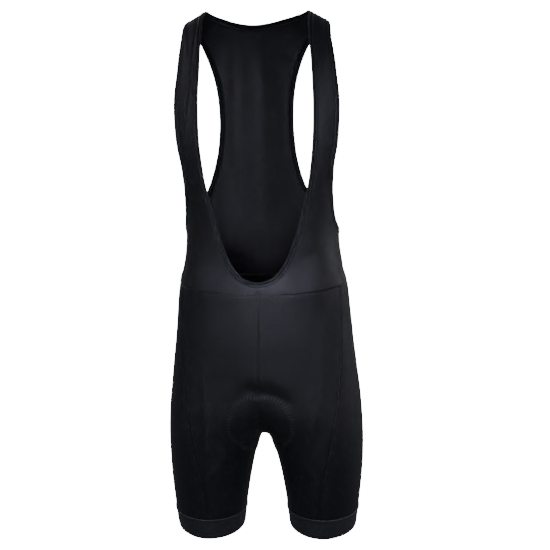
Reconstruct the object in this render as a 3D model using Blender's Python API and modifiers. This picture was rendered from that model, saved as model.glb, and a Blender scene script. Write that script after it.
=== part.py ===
"""Cycling bib shorts: a hollow garment in its worn form, sewn from knitted panels.

Frame: the front faces -Y, +X is the wearer's left and +Z is up.  The origin lies midway between
the two shoulder straps, at the height of their undersides, where the wearer's shoulders carry them.

The seams are drawn on a plain dress form.  Below the chest line its sections are level rings.
Above it the same ring tips backwards over the shoulders, turning about a sideways line through
the chest.  Below the waist the ring parts into two legs.  Each panel is a thin wall spread over
the form between its own seams.
"""
import math
from collections import namedtuple

import bmesh
import bpy
import numpy as np

NAME = "cycling_bib_shorts"

# Walls, seams and bindings, in metres
CLOTH = 0.0015
LEG_BAND_CLOTH = 0.0019
BINDING_CLOTH = 0.0023
BINDING_WIDTH = 0.008
SEAM_GAP = 0.0003
PAD_THICKNESS = 0.008
PAD_RIM_SHARE = 0.3
PAD_CLEARANCE = 0.0011

# Levels, measured up from the shoulder straps' undersides
CHEST_LEVEL = -0.190
WAIST_LEVEL = -0.452
CROTCH_LEVEL = -0.707
LEG_BAND_LEVEL = -0.8340
HEM_LEVEL = -0.8645

# The pose: the upper back and the shoulders hang a little towards the wearer's right
BACK_SLIDE = 0.0175
SLIDE_DEPTH = 0.100       # distance behind the shoulders where the whole slide is reached
SLIDE_START = -0.420
SLIDE_FULL = -0.290
SHOULDER_SHIFT = 0.0035
SHIFT_START = -0.100
HEM_TILT = 0.036          # drop of each hem towards the wearer's left, as a slope
HEM_DIP = 0.070           # drop of each hem towards the front, as a slope
LEG_AXIS = 0.094
LEG_LIFT = 0.001          # how much higher the left leg hangs, and lower the right one
WAIST_LIFT = 0.006        # how much higher the waist seam lies at the sides than in front
WAIST_SPREAD = 0.050

# The dress form
SHOULDER_RISE = 0.206     # height of the form's crown above the chest line
SHOULDER_SPREAD = 0.013   # how much wider the form is at the shoulders than at the chest line
TAPE_OVER = 0.540         # tape length counted from the front chest line over to the back one
SHOULDER_SEAM = 0.305     # tape reading of the shoulder seam, just behind the crown of the strap
FRONT_RISE = 0.110        # height over which the centre-front seam runs under the crotch
BACK_RISE = 0.160
RISE_ROUNDNESS = 2.4
BRIDGE = 0.012            # half width of the cloth that bridges from leg to leg at the crotch
HEM_GAP = 0.0392          # from the middle plane to each leg at its hem
GAP_POWER = 0.45          # how fast the legs part below the crotch

# Rings of the form; squareness is the ring's exponent, where 2 is an ellipse and more is squarer
Section = namedtuple("Section", "level side front back squareness")
SECTIONS = (
    Section(-0.870, 0.1510, 0.074, 0.076, 2.0),
    Section(-0.828, 0.1568, 0.080, 0.083, 2.0),
    Section(-0.757, 0.1625, 0.091, 0.098, 2.05),
    Section(-0.707, 0.1642, 0.098, 0.113, 2.1),
    Section(-0.651, 0.1610, 0.104, 0.125, 2.2),
    Section(-0.582, 0.1540, 0.107, 0.121, 2.3),
    Section(-0.512, 0.1463, 0.105, 0.108, 2.3),
    Section(-0.452, 0.1397, 0.103, 0.098, 2.3),
    Section(-0.428, 0.1345, 0.102, 0.094, 2.3),
    Section(-0.400, 0.1293, 0.101, 0.092, 2.3),
    Section(-0.350, 0.1278, 0.101, 0.092, 2.3),
    Section(-0.300, 0.1380, 0.103, 0.097, 2.3),
    Section(-0.250, 0.1580, 0.105, 0.103, 2.3),
    Section(-0.210, 0.1740, 0.106, 0.106, 2.3),
    Section(-0.190, 0.1760, 0.106, 0.106, 2.3),
)

# Guide marks of the garment's edges: sideways distance, and the reading of a tape that runs up
# the front from the chest line (negative below it), over the shoulder and down the back
Mark = namedtuple("Mark", "x tape")
NECKLINE = (
    Mark(0.0000, -0.2404),
    Mark(0.0259, -0.2324),
    Mark(0.0371, -0.2200),
    Mark(0.0552, -0.1830),
    Mark(0.0707, -0.1320),
    Mark(0.0816, -0.0870),
    Mark(0.0904, -0.0190),
    Mark(0.0922, 0.0360),
    Mark(0.0892, 0.1110),
    Mark(0.0869, 0.1600),
    Mark(0.0855, 0.2200),
    Mark(0.0830, 0.2750),
    Mark(0.0765, 0.3150),
    Mark(0.0640, 0.3390),
    Mark(0.0500, 0.3540),
    Mark(0.0340, 0.3660),
    Mark(0.0000, 0.3760),
)
AT_SIDE = 1.0             # more than any half width, so that the mark lies on the side line
ARMHOLE = (
    Mark(AT_SIDE, -0.1660),
    Mark(0.1245, -0.1480),
    Mark(0.1215, -0.1100),
    Mark(0.1237, -0.0610),
    Mark(0.1327, 0.0040),
    Mark(0.1340, 0.0500),
    Mark(0.1285, 0.1200),
    Mark(0.1215, 0.2000),
    Mark(0.1170, 0.2750),
    Mark(0.1070, 0.3450),
    Mark(0.0867, 0.4170),
    Mark(0.0705, 0.4730),
    Mark(0.0639, 0.5340),
    Mark(0.0705, 0.6020),
    Mark(0.0860, 0.6500),
    Mark(0.1120, 0.6900),
)

# Seams of the side panels: degrees round the leg from its outermost line, forwards and backwards
SideSeam = namedtuple("SideSeam", "level forward backward")
SIDE_SEAMS = (
    SideSeam(-0.850, 94.0, 62.0),
    SideSeam(-0.800, 90.0, 58.0),
    SideSeam(-0.757, 82.0, 53.0),
    SideSeam(-0.707, 69.0, 47.0),
    SideSeam(-0.660, 53.0, 41.0),
    SideSeam(-0.600, 37.0, 34.0),
    SideSeam(-0.530, 29.0, 27.0),
    SideSeam(-0.452, 23.0, 20.0),
)

# Half widths of the seat pad along the cloth, from the centre seam or inseam, at heights from
# the crotch
PadRow = namedtuple("PadRow", "height half_width")
PAD_FRONT = (
    PadRow(-0.0300, 0.012),
    PadRow(-0.0220, 0.036),
    PadRow(-0.0100, 0.060),
    PadRow(0.0030, 0.080),
    PadRow(0.0200, 0.067),
    PadRow(0.0440, 0.054),
    PadRow(0.0660, 0.041),
    PadRow(0.0790, 0.029),
    PadRow(0.0890, 0.012),
)
PAD_BACK = (
    PadRow(-0.0300, 0.012),
    PadRow(-0.0220, 0.040),
    PadRow(-0.0100, 0.068),
    PadRow(0.0030, 0.094),
    PadRow(0.0150, 0.097),
    PadRow(0.0350, 0.090),
    PadRow(0.0600, 0.081),
    PadRow(0.1000, 0.060),
    PadRow(0.1300, 0.018),
)

# How finely the cloth is divided
BINDING_STEP = 0.015
FRONT_COLUMNS = 8
SHOULDER_COLUMNS = 3
TORSO_ROWS = 8
RISE_ROWS = 9
LEG_ROWS = 8
SHORTS_COLUMNS = 9
INNER_CROWDING = 1.4      # how much closer the columns lie at the centre seam and inseam
SIDE_COLUMNS = 8
LEG_BAND_COLUMNS = 32
LEG_BAND_ROWS = 3
PAD_COLUMNS = 7
END_FADE = 7              # how quickly a panel's end seams stop shaping its inside
FINE = 160                # points of a working curve before it is divided evenly

LEFT = 1
RIGHT = -1

KNIT_BLACK = (0.0105, 0.0115, 0.0150)
BIB_BLACK = (0.0125, 0.0135, 0.0180)
BAND_BLACK = (0.0180, 0.0190, 0.0220)
PAD_GREY = (0.0300, 0.0310, 0.0340)


# ---------------------------------------------------------------- curves

def through_rows(keys, values, at):
    """Smooth curve through rows of values; each row's slope comes from its neighbours."""
    keys = np.asarray(keys, float)
    values = np.asarray(values, float)
    slopes = np.gradient(values, keys, axis=0)
    place = np.clip(np.searchsorted(keys, at) - 1, 0, len(keys) - 2)
    span = keys[place + 1] - keys[place]
    t = (at - keys[place]) / span
    if values.ndim > 1:
        t = t[:, None]
        span = span[:, None]
    start, end = values[place], values[place + 1]
    rise = (1 - t) ** 2 * t * span * slopes[place] - (1 - t) * t ** 2 * span * slopes[place + 1]
    return start + (end - start) * t * t * (3 - 2 * t) + rise


def lengths_along(path):
    """Running length at each point of a path."""
    steps = np.linalg.norm(np.diff(path, axis=0), axis=1)
    return np.concatenate([[0.0], np.cumsum(steps)])


def points_at(path, distances):
    """Points of a path at given running lengths."""
    along = lengths_along(path)
    return np.stack([np.interp(distances, along, path[:, axis]) for axis in range(3)], axis=1)


def spread_evenly(path, count):
    """The same path with its points evenly spaced."""
    return points_at(path, np.linspace(0.0, lengths_along(path)[-1], count))


def closed_curve(points, step):
    """Smooth closed curve through the points, in even steps; its first point comes first."""
    wrapped = np.concatenate([points[-3:], points, points[:4]])
    keys = lengths_along(wrapped)
    inner = np.linspace(keys[3], keys[3 + len(points)], FINE * 4)
    fine = through_rows(keys, wrapped, inner)
    count = 2 * round(lengths_along(fine)[-1] / step / 2)
    return spread_evenly(fine, count + 1)[:-1]


def ease(share):
    """Rises from 0 to 1 without a corner as the share does."""
    kept = np.clip(share, 0.0, 1.0)
    return kept * kept * (3 - 2 * kept)


# ---------------------------------------------------------------- dress form, bib part

def section_at(levels):
    """Side, front and back reach of the form, and its squareness, at each level."""
    rows = np.array(SECTIONS)
    levels = np.asarray(levels, float)
    found = through_rows(rows[:, 0], rows[:, 1:], levels.ravel())
    return [column.reshape(levels.shape) for column in found.T]


def roundness(points):
    """1 on the form, less inside it and more outside: how far out each point of the bib lies."""
    x, y, z = points.T
    side, front, back, power = section_at(np.minimum(z, CHEST_LEVEL))
    depth = np.where(y < 0, front, back)
    lift = np.maximum(z - CHEST_LEVEL, 0.0) / SHOULDER_RISE
    outward = np.hypot(y / depth, lift)
    crown = lift / np.maximum(outward, 1e-9)
    spread = side + SHOULDER_SPREAD * crown ** 2
    return ((np.abs(x) / spread) ** power + outward ** power) ** (1 / power)


def lay_on_bib(points):
    """Points moved outward or inward onto the form, from the middle of their own ring."""
    scale = roundness(points)[:, None]
    ring_centre = np.zeros_like(points)
    ring_centre[:, 2] = np.minimum(points[:, 2], CHEST_LEVEL)
    return ring_centre + (points - ring_centre) / scale


def bib_normals(points):
    """Outward directions of the form at points of the bib."""
    probe = 1e-4
    slope = np.zeros_like(points)
    for axis in range(3):
        shift = np.zeros(3)
        shift[axis] = probe
        slope[:, axis] = roundness(points + shift) - roundness(points - shift)
    return slope / np.linalg.norm(slope, axis=1)[:, None]


def bib_point(mark):
    """Place of a guide mark on the form."""
    if 0.0 < mark.tape < TAPE_OVER:
        turn = math.pi * mark.tape / TAPE_OVER
        level = CHEST_LEVEL
        spread = SHOULDER_SPREAD * math.sin(turn) ** 2
    else:
        turn = 0.0 if mark.tape <= 0.0 else math.pi
        level = CHEST_LEVEL + min(mark.tape, TAPE_OVER - mark.tape)
        spread = 0.0
    side, front, back, power = section_at(level)
    x = min(mark.x, side + spread)
    height = (1 - (x / (side + spread)) ** power) ** (1 / power)
    depth = front if turn < math.pi / 2 else back
    y = -depth * height * math.cos(turn)
    return np.array([x, y, level + SHOULDER_RISE * height * math.sin(turn)])


def tape_reading(points):
    """Tape reading of points on the form, from low in front, over the shoulder, to low behind."""
    _, front, back, _ = section_at(np.minimum(points[:, 2], CHEST_LEVEL))
    below = np.minimum(points[:, 2] - CHEST_LEVEL, 0.0)
    lift = np.maximum(points[:, 2] - CHEST_LEVEL, 0.0) / SHOULDER_RISE
    ahead = -points[:, 1] / np.where(points[:, 1] < 0, front, back)
    turn = np.arctan2(lift, ahead) / math.pi
    return np.where(lift > 0, turn * TAPE_OVER, np.where(ahead >= 0, below, TAPE_OVER - below))


def edge_inside(edge, distance, turned):
    """A closed edge of the garment moved across the cloth, away from its opening."""
    ahead = np.roll(edge, -1, axis=0) - np.roll(edge, 1, axis=0)
    across = np.cross(ahead, bib_normals(edge)) * turned
    across /= np.linalg.norm(across, axis=1)[:, None]
    return lay_on_bib(edge + across * distance)


def neckline():
    """Closed neck edge; it starts at the centre front and climbs the wearer's left side."""
    left = [bib_point(mark) for mark in NECKLINE]
    right = [point * (-1, 1, 1) for point in left[-2:0:-1]]
    return lay_on_bib(closed_curve(np.array(left + right), BINDING_STEP))


def armhole():
    """Closed edge of the left armhole; it starts under the arm and climbs the front."""
    marks = np.array([bib_point(mark) for mark in ARMHOLE])
    return lay_on_bib(closed_curve(marks, BINDING_STEP))


def neck_seam():
    """Left half of the bib's edge along the neck binding, from centre front to centre back."""
    whole = edge_inside(neckline(), BINDING_WIDTH + SEAM_GAP, 1)
    return whole[:len(whole) // 2 + 1]


def armhole_seam():
    """Bib's edge along the left armhole binding, from under the arm round to under the arm."""
    edge = edge_inside(armhole(), BINDING_WIDTH + SEAM_GAP, -1)
    return np.concatenate([edge, edge[:1]])


def part_at_shoulder(path):
    """A path that climbs the front and goes down the back, parted at the shoulder seam.

    Both stretches start at their lower end.
    """
    crown = path[:, 2] > CHEST_LEVEL
    beside = np.where(crown, np.abs(tape_reading(path) - SHOULDER_SEAM), np.inf)
    seam = int(np.argmin(beside))
    return path[:seam + 1], path[seam:][::-1]


def waist_seam(facing):
    """Quarter of the waist seam, from the centre front (-1) or back (1) to the left side."""
    side, front, back, power = section_at(WAIST_LEVEL)
    depth = front if facing < 0 else back
    turn = np.linspace(0.0, math.pi / 2, FINE)
    x = side * np.sin(turn) ** (2 / power)
    y = facing * depth * np.cos(turn) ** (2 / power)
    return np.stack([x, y, np.full(FINE, WAIST_LEVEL)], axis=1)


def straight_on_bib(start, end):
    """Line between two points, laid on the form."""
    share = np.linspace(0.0, 1.0, FINE)[:, None]
    return lay_on_bib(start + (end - start) * share)


def spread_panel(inner, outer, bottom, top):
    """Grid of rows from the inner edge to the outer one, fitted to both end seams."""
    share = np.linspace(0.0, 1.0, len(bottom))[None, :, None]
    rows = inner[:, None, :] * (1 - share) + outer[:, None, :] * share
    up = np.linspace(0.0, 1.0, len(inner))[:, None, None]
    rows = rows + (1 - up) ** END_FADE * (bottom - rows[0]) + up ** END_FADE * (top - rows[-1])
    return lay_on_bib(rows.reshape(-1, 3)).reshape(rows.shape)


def side_and_armhole(arm, rows):
    """Outer edge of a bib panel: the side seam from the waist, then the armhole."""
    side_seam = straight_on_bib(waist_seam(-1)[-1], arm[0])
    return np.concatenate([spread_evenly(side_seam, rows - len(arm) + 1), arm[1:]])


def bib_front_grid():
    """Left front panel with its strap, from the waist seam up to the shoulder seam."""
    inner, _ = part_at_shoulder(neck_seam())
    arm, _ = part_at_shoulder(armhole_seam())
    outer = side_and_armhole(arm, len(inner))
    bottom = np.concatenate([inner[:1], spread_evenly(waist_seam(-1), FRONT_COLUMNS)])
    top = spread_evenly(straight_on_bib(inner[-1], arm[-1]), len(bottom))
    return spread_panel(inner, outer, bottom, top)


def bib_back_grid():
    """Left half of the back panel, from the waist seam up to the neck and shoulder seam."""
    front_neck, neck = part_at_shoulder(neck_seam())
    front_arm, arm = part_at_shoulder(armhole_seam())
    outer = side_and_armhole(arm, len(arm) + len(front_neck) - len(front_arm))
    shoulder = spread_evenly(straight_on_bib(neck[-1], arm[-1]), SHOULDER_COLUMNS + 1)
    top = np.concatenate([neck, shoulder[1:]])
    waist = waist_seam(1)
    inner = spread_evenly(straight_on_bib(waist[0], neck[0]), len(outer))
    return spread_panel(inner, outer, spread_evenly(waist, len(top)), top)


# ---------------------------------------------------------------- dress form, shorts part

def leg_rings(levels, facing):
    """Quarter rings of the left half: centre, half width, depth, bridge, squareness, last turn.

    The turn counts from the outermost line.  Above the crotch a ring ends on the middle plane,
    nearer the crotch point the lower it lies.  Below it the ring closes round the leg.
    """
    side, front, back, power = section_at(levels)
    depth, rise = (front, FRONT_RISE) if facing < 0 else (back, BACK_RISE)
    fallen = np.clip((CROTCH_LEVEL + rise - levels) / rise, 0.0, 1.0)
    end_depth = (1 - fallen ** RISE_ROUNDNESS) ** (1 / RISE_ROUNDNESS)
    inward = (1 - end_depth ** power) ** (1 / power)
    below = np.maximum(CROTCH_LEVEL - levels, 0.0) / (CROTCH_LEVEL - HEM_LEVEL)
    bridge = BRIDGE * fallen
    reach = np.hypot(side, bridge)
    half = (reach - np.hypot(HEM_GAP * below ** GAP_POWER, bridge)) / (1 + inward)
    last_turn = math.pi - np.arccos(np.minimum(inward ** (power / 2), 1.0))
    return reach - half, half, depth, bridge, power, last_turn


def leg_points(levels, facing, turns):
    """Points of the form at given levels and turns from the outermost line."""
    centre, half, depth, bridge, power, _ = leg_rings(levels, facing)
    cosine = np.cos(turns)
    across = centre + half * np.sign(cosine) * np.abs(cosine) ** (2 / power)
    x = np.sqrt(np.maximum(across ** 2 - bridge ** 2, 0.0))
    y = facing * depth * np.abs(np.sin(turns)) ** (2 / power)
    return np.stack([x, y, levels], axis=-1)


def side_seam_turns(levels, facing):
    """Turns of the side panel's front or back seam."""
    rows = np.array(SIDE_SEAMS)
    column = rows[:, 1] if facing < 0 else rows[:, 2]
    return np.radians(through_rows(rows[:, 0], column, levels.ravel())).reshape(levels.shape)


def outer_levels():
    """Levels of the shorts' rows on the outside of the leg."""
    return np.linspace(WAIST_LEVEL, LEG_BAND_LEVEL, TORSO_ROWS + RISE_ROWS + LEG_ROWS)


def inner_levels():
    """Levels of the same rows on the centre seams and inseam, which run under the crotch."""
    rise_top = CROTCH_LEVEL + FRONT_RISE
    torso = np.linspace(WAIST_LEVEL, rise_top, TORSO_ROWS, endpoint=False)
    turn = np.linspace(0.0, math.pi / 2, RISE_ROWS, endpoint=False)
    rise = rise_top - FRONT_RISE * np.sin(turn) ** (2 / RISE_ROUNDNESS)
    fall = np.linspace(0.0, 1.0, LEG_ROWS) ** 1.5
    leg = CROTCH_LEVEL + (LEG_BAND_LEVEL - CROTCH_LEVEL) * fall
    return np.concatenate([torso, rise, leg])


def shorts_grid(facing):
    """Left front (-1) or back (1) panel: rows run from the centre seam or inseam outwards."""
    share = np.linspace(0.0, 1.0, SHORTS_COLUMNS) ** INNER_CROWDING
    inner = inner_levels()[:, None]
    levels = inner + (outer_levels()[:, None] - inner) * share
    last_turns = leg_rings(levels, facing)[-1]
    turns = last_turns + (side_seam_turns(levels, facing) - last_turns) * share
    return leg_points(levels, facing, turns)


def ring_points(levels, first_front, last_back, count):
    """Rows from a front turn, round the outside of the leg, to a back turn."""
    rows = []
    for level, first, last in zip(levels, first_front, last_back):
        flat = np.full(FINE, level)
        ahead = leg_points(flat, -1, np.linspace(first, 0.0, FINE))
        behind = leg_points(flat, 1, np.linspace(0.0, last, FINE))
        rows.append(spread_evenly(np.concatenate([ahead, behind[1:]]), count))
    return np.array(rows)


def shorts_side_grid():
    """Left side panel, from its front seam round the outside of the leg to its back seam."""
    levels = outer_levels()
    forward = side_seam_turns(levels, -1)
    backward = side_seam_turns(levels, 1)
    return ring_points(levels, forward, backward, SIDE_COLUMNS)


def leg_band_grid():
    """Left leg band: rings from the shorts' lower seam to the hem."""
    levels = np.linspace(LEG_BAND_LEVEL - SEAM_GAP, HEM_LEVEL, LEG_BAND_ROWS)
    whole_turn = np.full(LEG_BAND_ROWS, math.pi)
    return ring_points(levels, whole_turn, whole_turn, LEG_BAND_COLUMNS + 1)[:, :-1]


def pad_bed(grid, rows):
    """Quarter of the seat pad's bed: points of a panel's rows, out from its inner edge."""
    table = np.array(rows)
    shares = np.linspace(0.0, 1.0, PAD_COLUMNS) ** INNER_CROWDING
    bed = []
    for row in grid:
        height = row[0, 2] - CROTCH_LEVEL
        if table[0, 0] < height < table[-1, 0]:
            half_width = through_rows(table[:, 0], table[:, 1], np.array([height]))[0]
            bed.append(points_at(row, half_width * shares))
    return np.array(bed)


# ---------------------------------------------------------------- pose

def posed(points):
    """Points of the evenly built form, moved into the garment's own slightly uneven pose."""
    x, y, z = np.moveaxis(points, -1, 0)
    slide = BACK_SLIDE * ease(y / SLIDE_DEPTH) * ease((z - SLIDE_START) / (SLIDE_FULL - SLIDE_START))
    shift = SHOULDER_SHIFT * ease(1 - z / SHIFT_START)
    leg = np.sign(x)
    hang = ease((CROTCH_LEVEL - z) / (CROTCH_LEVEL - HEM_LEVEL))
    hem = hang * (LEG_LIFT * leg - HEM_TILT * (x - LEG_AXIS * leg) + HEM_DIP * y)
    sideways = (x / section_at(WAIST_LEVEL)[0]) ** 2
    waist = WAIST_LIFT * sideways * np.exp(-((z - WAIST_LEVEL) / WAIST_SPREAD) ** 2)
    return np.stack([x - slide - shift, y, z + hem + waist], axis=-1)


def whole(half):
    """A grid whose first column lies on the middle plane, joined to its mirror image."""
    return np.concatenate([half[:, :0:-1] * (-1, 1, 1), half], axis=1)


# ---------------------------------------------------------------- meshes

def draw_in(edge, beside, beyond):
    """An edge moved along the cloth by half the seam gap, and more where the cloth bends there."""
    into = (beside - edge) / np.linalg.norm(beside - edge, axis=1)[:, None]
    onward = (beyond - beside) / np.linalg.norm(beyond - beside, axis=1)[:, None]
    bend = np.linalg.norm(np.cross(into, onward), axis=1)[:, None]
    return edge + into * (SEAM_GAP + CLOTH * bend) / 2


def seam_inset(grid):
    """Grid with each edge drawn in from its seam."""
    inset = grid.copy()
    inset[0] = draw_in(grid[0], grid[1], grid[2])
    inset[-1] = draw_in(grid[-1], grid[-2], grid[-3])
    inset[:, 0] = draw_in(inset[:, 0], inset[:, 1], inset[:, 2])
    inset[:, -1] = draw_in(inset[:, -1], inset[:, -2], inset[:, -3])
    return inset


def clear_of_middle(grid):
    """Grid whose first column keeps off the middle plane, farther where the cloth leans there."""
    across = grid[:, 1] - grid[:, 0]
    lean = np.sqrt(1 - (across[:, 0] / np.linalg.norm(across, axis=1)) ** 2)
    kept = grid.copy()
    kept[:, 0, 0] = np.maximum(grid[:, 0, 0], (SEAM_GAP + CLOTH * lean) / 2)
    return kept


def split_on_ridge(corners):
    """Two triangles of a four-cornered patch, parted along its outward diagonal."""
    a, b, c, d = corners
    rise = (b.co - a.co).cross(c.co - a.co).dot(d.co - a.co)
    return ((a, b, c), (a, c, d)) if rise <= 0 else ((a, b, d), (b, c, d))


def surface_mesh(name, grids, closed=False, flip=False):
    """Open mesh of one or more grids of points; grids that share points are joined."""
    mesh = bpy.data.meshes.new(name)
    shape = bmesh.new()
    for grid in grids:
        points = [[shape.verts.new(point) for point in row] for row in posed(grid)]
        columns = len(points[0])
        for upper, lower in zip(points, points[1:]):
            for i in range(columns if closed else columns - 1):
                j = (i + 1) % columns
                corners = [upper[i], lower[i], lower[j], upper[j]]
                for triangle in split_on_ridge(corners[::-1] if flip else corners):
                    shape.faces.new(triangle)
    bmesh.ops.remove_doubles(shape, verts=shape.verts[:], dist=1e-5)
    shape.to_mesh(mesh)
    shape.free()
    mesh.shade_smooth()
    return mesh


def material(name, colour, roughness):
    """Cloth finish: base colour and roughness."""
    finish = bpy.data.materials.get(name)
    if finish is None:
        finish = bpy.data.materials.new(name)
        finish.use_nodes = True
        shader = finish.node_tree.nodes["Principled BSDF"]
        shader.inputs["Base Color"].default_value = (*colour, 1.0)
        shader.inputs["Roughness"].default_value = roughness
        shader.inputs["Metallic"].default_value = 0.0
    return finish


def add_piece(mesh, finish, parts):
    """Object of one sewn piece, parented to the garment's empty."""
    piece = bpy.data.objects.new(mesh.name, mesh)
    piece.data.materials.append(finish)
    parts.objects.link(piece)
    piece.parent = bpy.data.objects[NAME + "_origin"]
    return piece


def give_wall(piece, thickness, offset=0.0):
    """Thickens a surface to a closed wall."""
    wall = piece.modifiers.new("Wall", "SOLIDIFY")
    wall.thickness = thickness
    wall.offset = offset
    wall.use_even_offset = False
    wall.use_quality_normals = True
    return wall


def add_panel_pair(name, inset, turned, finish, parts):
    """Left and right copies of a panel; the grid is the left one's middle surface.

    A grid is turned when its rows and columns run the other way round than on a front panel
    of the shorts, whose rows run down and whose columns run outwards.
    """
    for side, label in ((LEFT, "left"), (RIGHT, "right")):
        placed = np.maximum(inset, (SEAM_GAP / 2, -1, -1)) * (side, 1, 1)
        mesh = surface_mesh(f"{name}_{label}", [placed], flip=turned == (side == LEFT))
        give_wall(add_piece(mesh, finish, parts), CLOTH)


def add_bib(parts):
    """Two front panels and the back panel."""
    knit = material("bib_knit", BIB_BLACK, 0.75)
    add_panel_pair("bib_front", seam_inset(bib_front_grid()), True, knit, parts)
    back = surface_mesh("bib_back", [seam_inset(whole(bib_back_grid()))])
    give_wall(add_piece(back, knit, parts), CLOTH)


def add_shorts(parts):
    """Front, side and back panels of each leg, and the leg bands."""
    knit = material("shorts_knit", KNIT_BLACK, 0.7)
    front = clear_of_middle(seam_inset(shorts_grid(-1)))
    back = clear_of_middle(seam_inset(shorts_grid(1)))
    add_panel_pair("shorts_front", front, False, knit, parts)
    add_panel_pair("shorts_side", seam_inset(shorts_side_grid()), False, knit, parts)
    add_panel_pair("shorts_back", back, True, knit, parts)
    elastic = material("leg_band_elastic", BAND_BLACK, 0.8)
    for side, label in ((LEFT, "left"), (RIGHT, "right")):
        ring = leg_band_grid() * (side, 1, 1)
        mesh = surface_mesh(f"leg_band_{label}", [ring], closed=True, flip=side == RIGHT)
        give_wall(add_piece(mesh, elastic, parts), LEG_BAND_CLOTH)


def add_binding(name, edge, turned, side, parts):
    """Binding folded over a closed edge of the bib, one strip of cloth wide."""
    strip = [edge, edge_inside(edge, BINDING_WIDTH / 2, turned), edge_inside(edge, BINDING_WIDTH, turned)]
    grid = np.array(strip) * (side, 1, 1)
    mesh = surface_mesh(name, [grid], closed=True, flip=(turned == 1) == (side == LEFT))
    elastic = material("binding_elastic", BIB_BLACK, 0.7)
    give_wall(add_piece(mesh, elastic, parts), BINDING_CLOTH)


def open_edge_points(mesh):
    """Indices of the vertices on a mesh's open edges."""
    uses = {}
    for face in mesh.polygons:
        for key in face.edge_keys:
            uses[key] = uses.get(key, 0) + 1
    return {index for key, count in uses.items() if count == 1 for index in key}


def add_seat_pad(parts):
    """Padded insert on the inside of the crotch, thick in the middle and thin at its rim."""
    front = pad_bed(shorts_grid(-1), PAD_FRONT)
    back = pad_bed(shorts_grid(1), PAD_BACK)[:, ::-1]
    left = [front, back]
    mesh = surface_mesh("seat_pad", left + [half[:, ::-1] * (-1, 1, 1) for half in left])
    piece = add_piece(mesh, material("pad", PAD_GREY, 0.9), parts)
    rim = open_edge_points(mesh)
    middle = piece.vertex_groups.new(name="thick")
    middle.add([vertex.index for vertex in mesh.vertices if vertex.index not in rim], 1.0, "REPLACE")
    bed = piece.modifiers.new("Bed", "DISPLACE")
    bed.direction = "NORMAL"
    bed.mid_level = 0.0
    bed.strength = -(CLOTH / 2 + PAD_CLEARANCE)
    wall = give_wall(piece, PAD_THICKNESS, offset=-1.0)
    wall.vertex_group = middle.name
    wall.thickness_vertex_group = PAD_RIM_SHARE


def clear_scene():
    for old in list(bpy.data.objects):
        bpy.data.objects.remove(old, do_unlink=True)


def build():
    clear_scene()
    parts = bpy.data.collections.new(NAME)
    bpy.context.scene.collection.children.link(parts)
    origin = bpy.data.objects.new(NAME + "_origin", None)
    parts.objects.link(origin)
    add_bib(parts)
    add_shorts(parts)
    add_binding("neck_binding", neckline(), 1, LEFT, parts)
    add_binding("armhole_binding_left", armhole(), -1, LEFT, parts)
    add_binding("armhole_binding_right", armhole(), -1, RIGHT, parts)
    add_seat_pad(parts)


build()
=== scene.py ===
# %% [markdown]
# # Cycling bib shorts
# A pair of black bib shorts as a rider wears them, with nobody inside. The garment is fourteen
# pieces of knitted cloth and a seat pad, sewn with flat seams. This file goes the way a maker goes:
# first the dress form and the cuts laid on it, then the cloth, the sewing and the stitching, and
# last the light for a picture.
#
# Sizes are in metres. The front faces -Y, +X is the wearer's left and +Z is up. The origin is at
# the height of the shoulders that carry the straps.

import math
from collections import namedtuple

import bmesh
import bpy
import numpy as np
from mathutils import Matrix, Vector, noise
from mathutils.bvhtree import BVHTree


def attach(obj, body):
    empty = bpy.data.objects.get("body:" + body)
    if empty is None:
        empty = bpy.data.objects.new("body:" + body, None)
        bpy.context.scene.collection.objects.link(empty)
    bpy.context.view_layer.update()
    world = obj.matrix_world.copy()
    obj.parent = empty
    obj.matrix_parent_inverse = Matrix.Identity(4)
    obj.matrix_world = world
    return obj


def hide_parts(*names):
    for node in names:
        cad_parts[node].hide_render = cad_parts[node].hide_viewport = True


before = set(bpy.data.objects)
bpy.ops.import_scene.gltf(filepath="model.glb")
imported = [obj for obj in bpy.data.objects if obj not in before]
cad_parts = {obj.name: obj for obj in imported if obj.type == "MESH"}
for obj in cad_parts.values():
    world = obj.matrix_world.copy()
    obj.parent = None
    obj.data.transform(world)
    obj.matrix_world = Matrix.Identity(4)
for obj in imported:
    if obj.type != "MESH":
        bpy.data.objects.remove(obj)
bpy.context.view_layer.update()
LEFT, RIGHT = 1, -1
LABELS = {LEFT: "left", RIGHT: "right"}
CLOTH_MAP = "cloth"
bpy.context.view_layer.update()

# %% [markdown]
# ## Sizes of the form
# The cloth of such shorts is a dense knit about a millimetre thick. A few levels and a short table
# of sections say how the body of the form swells and narrows, so a change of size stays one number.

# %% Sizes of the form
CLOTH = 0.0012            # thickness of the knit
CHEST_LEVEL = -0.190
WAIST_LEVEL = -0.452
CROTCH_LEVEL = -0.707
LEG_BAND_LEVEL = -0.8340
HEM_LEVEL = -0.8645

Section = namedtuple("Section", "level side front back squareness")
SECTIONS = (
    Section(-0.870, 0.1510, 0.074, 0.076, 2.0),
    Section(-0.828, 0.1568, 0.080, 0.083, 2.0),
    Section(-0.757, 0.1625, 0.091, 0.098, 2.05),
    Section(-0.707, 0.1642, 0.098, 0.113, 2.1),
    Section(-0.651, 0.1610, 0.104, 0.125, 2.2),
    Section(-0.582, 0.1540, 0.107, 0.121, 2.3),
    Section(-0.512, 0.1463, 0.105, 0.108, 2.3),
    Section(-0.452, 0.1397, 0.103, 0.098, 2.3),
    Section(-0.428, 0.1345, 0.102, 0.094, 2.3),
    Section(-0.400, 0.1293, 0.101, 0.092, 2.3),
    Section(-0.350, 0.1278, 0.101, 0.092, 2.3),
    Section(-0.300, 0.1380, 0.103, 0.097, 2.3),
    Section(-0.250, 0.1580, 0.105, 0.103, 2.3),
    Section(-0.210, 0.1740, 0.106, 0.106, 2.3),
    Section(-0.190, 0.1760, 0.106, 0.106, 2.3),
)
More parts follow.
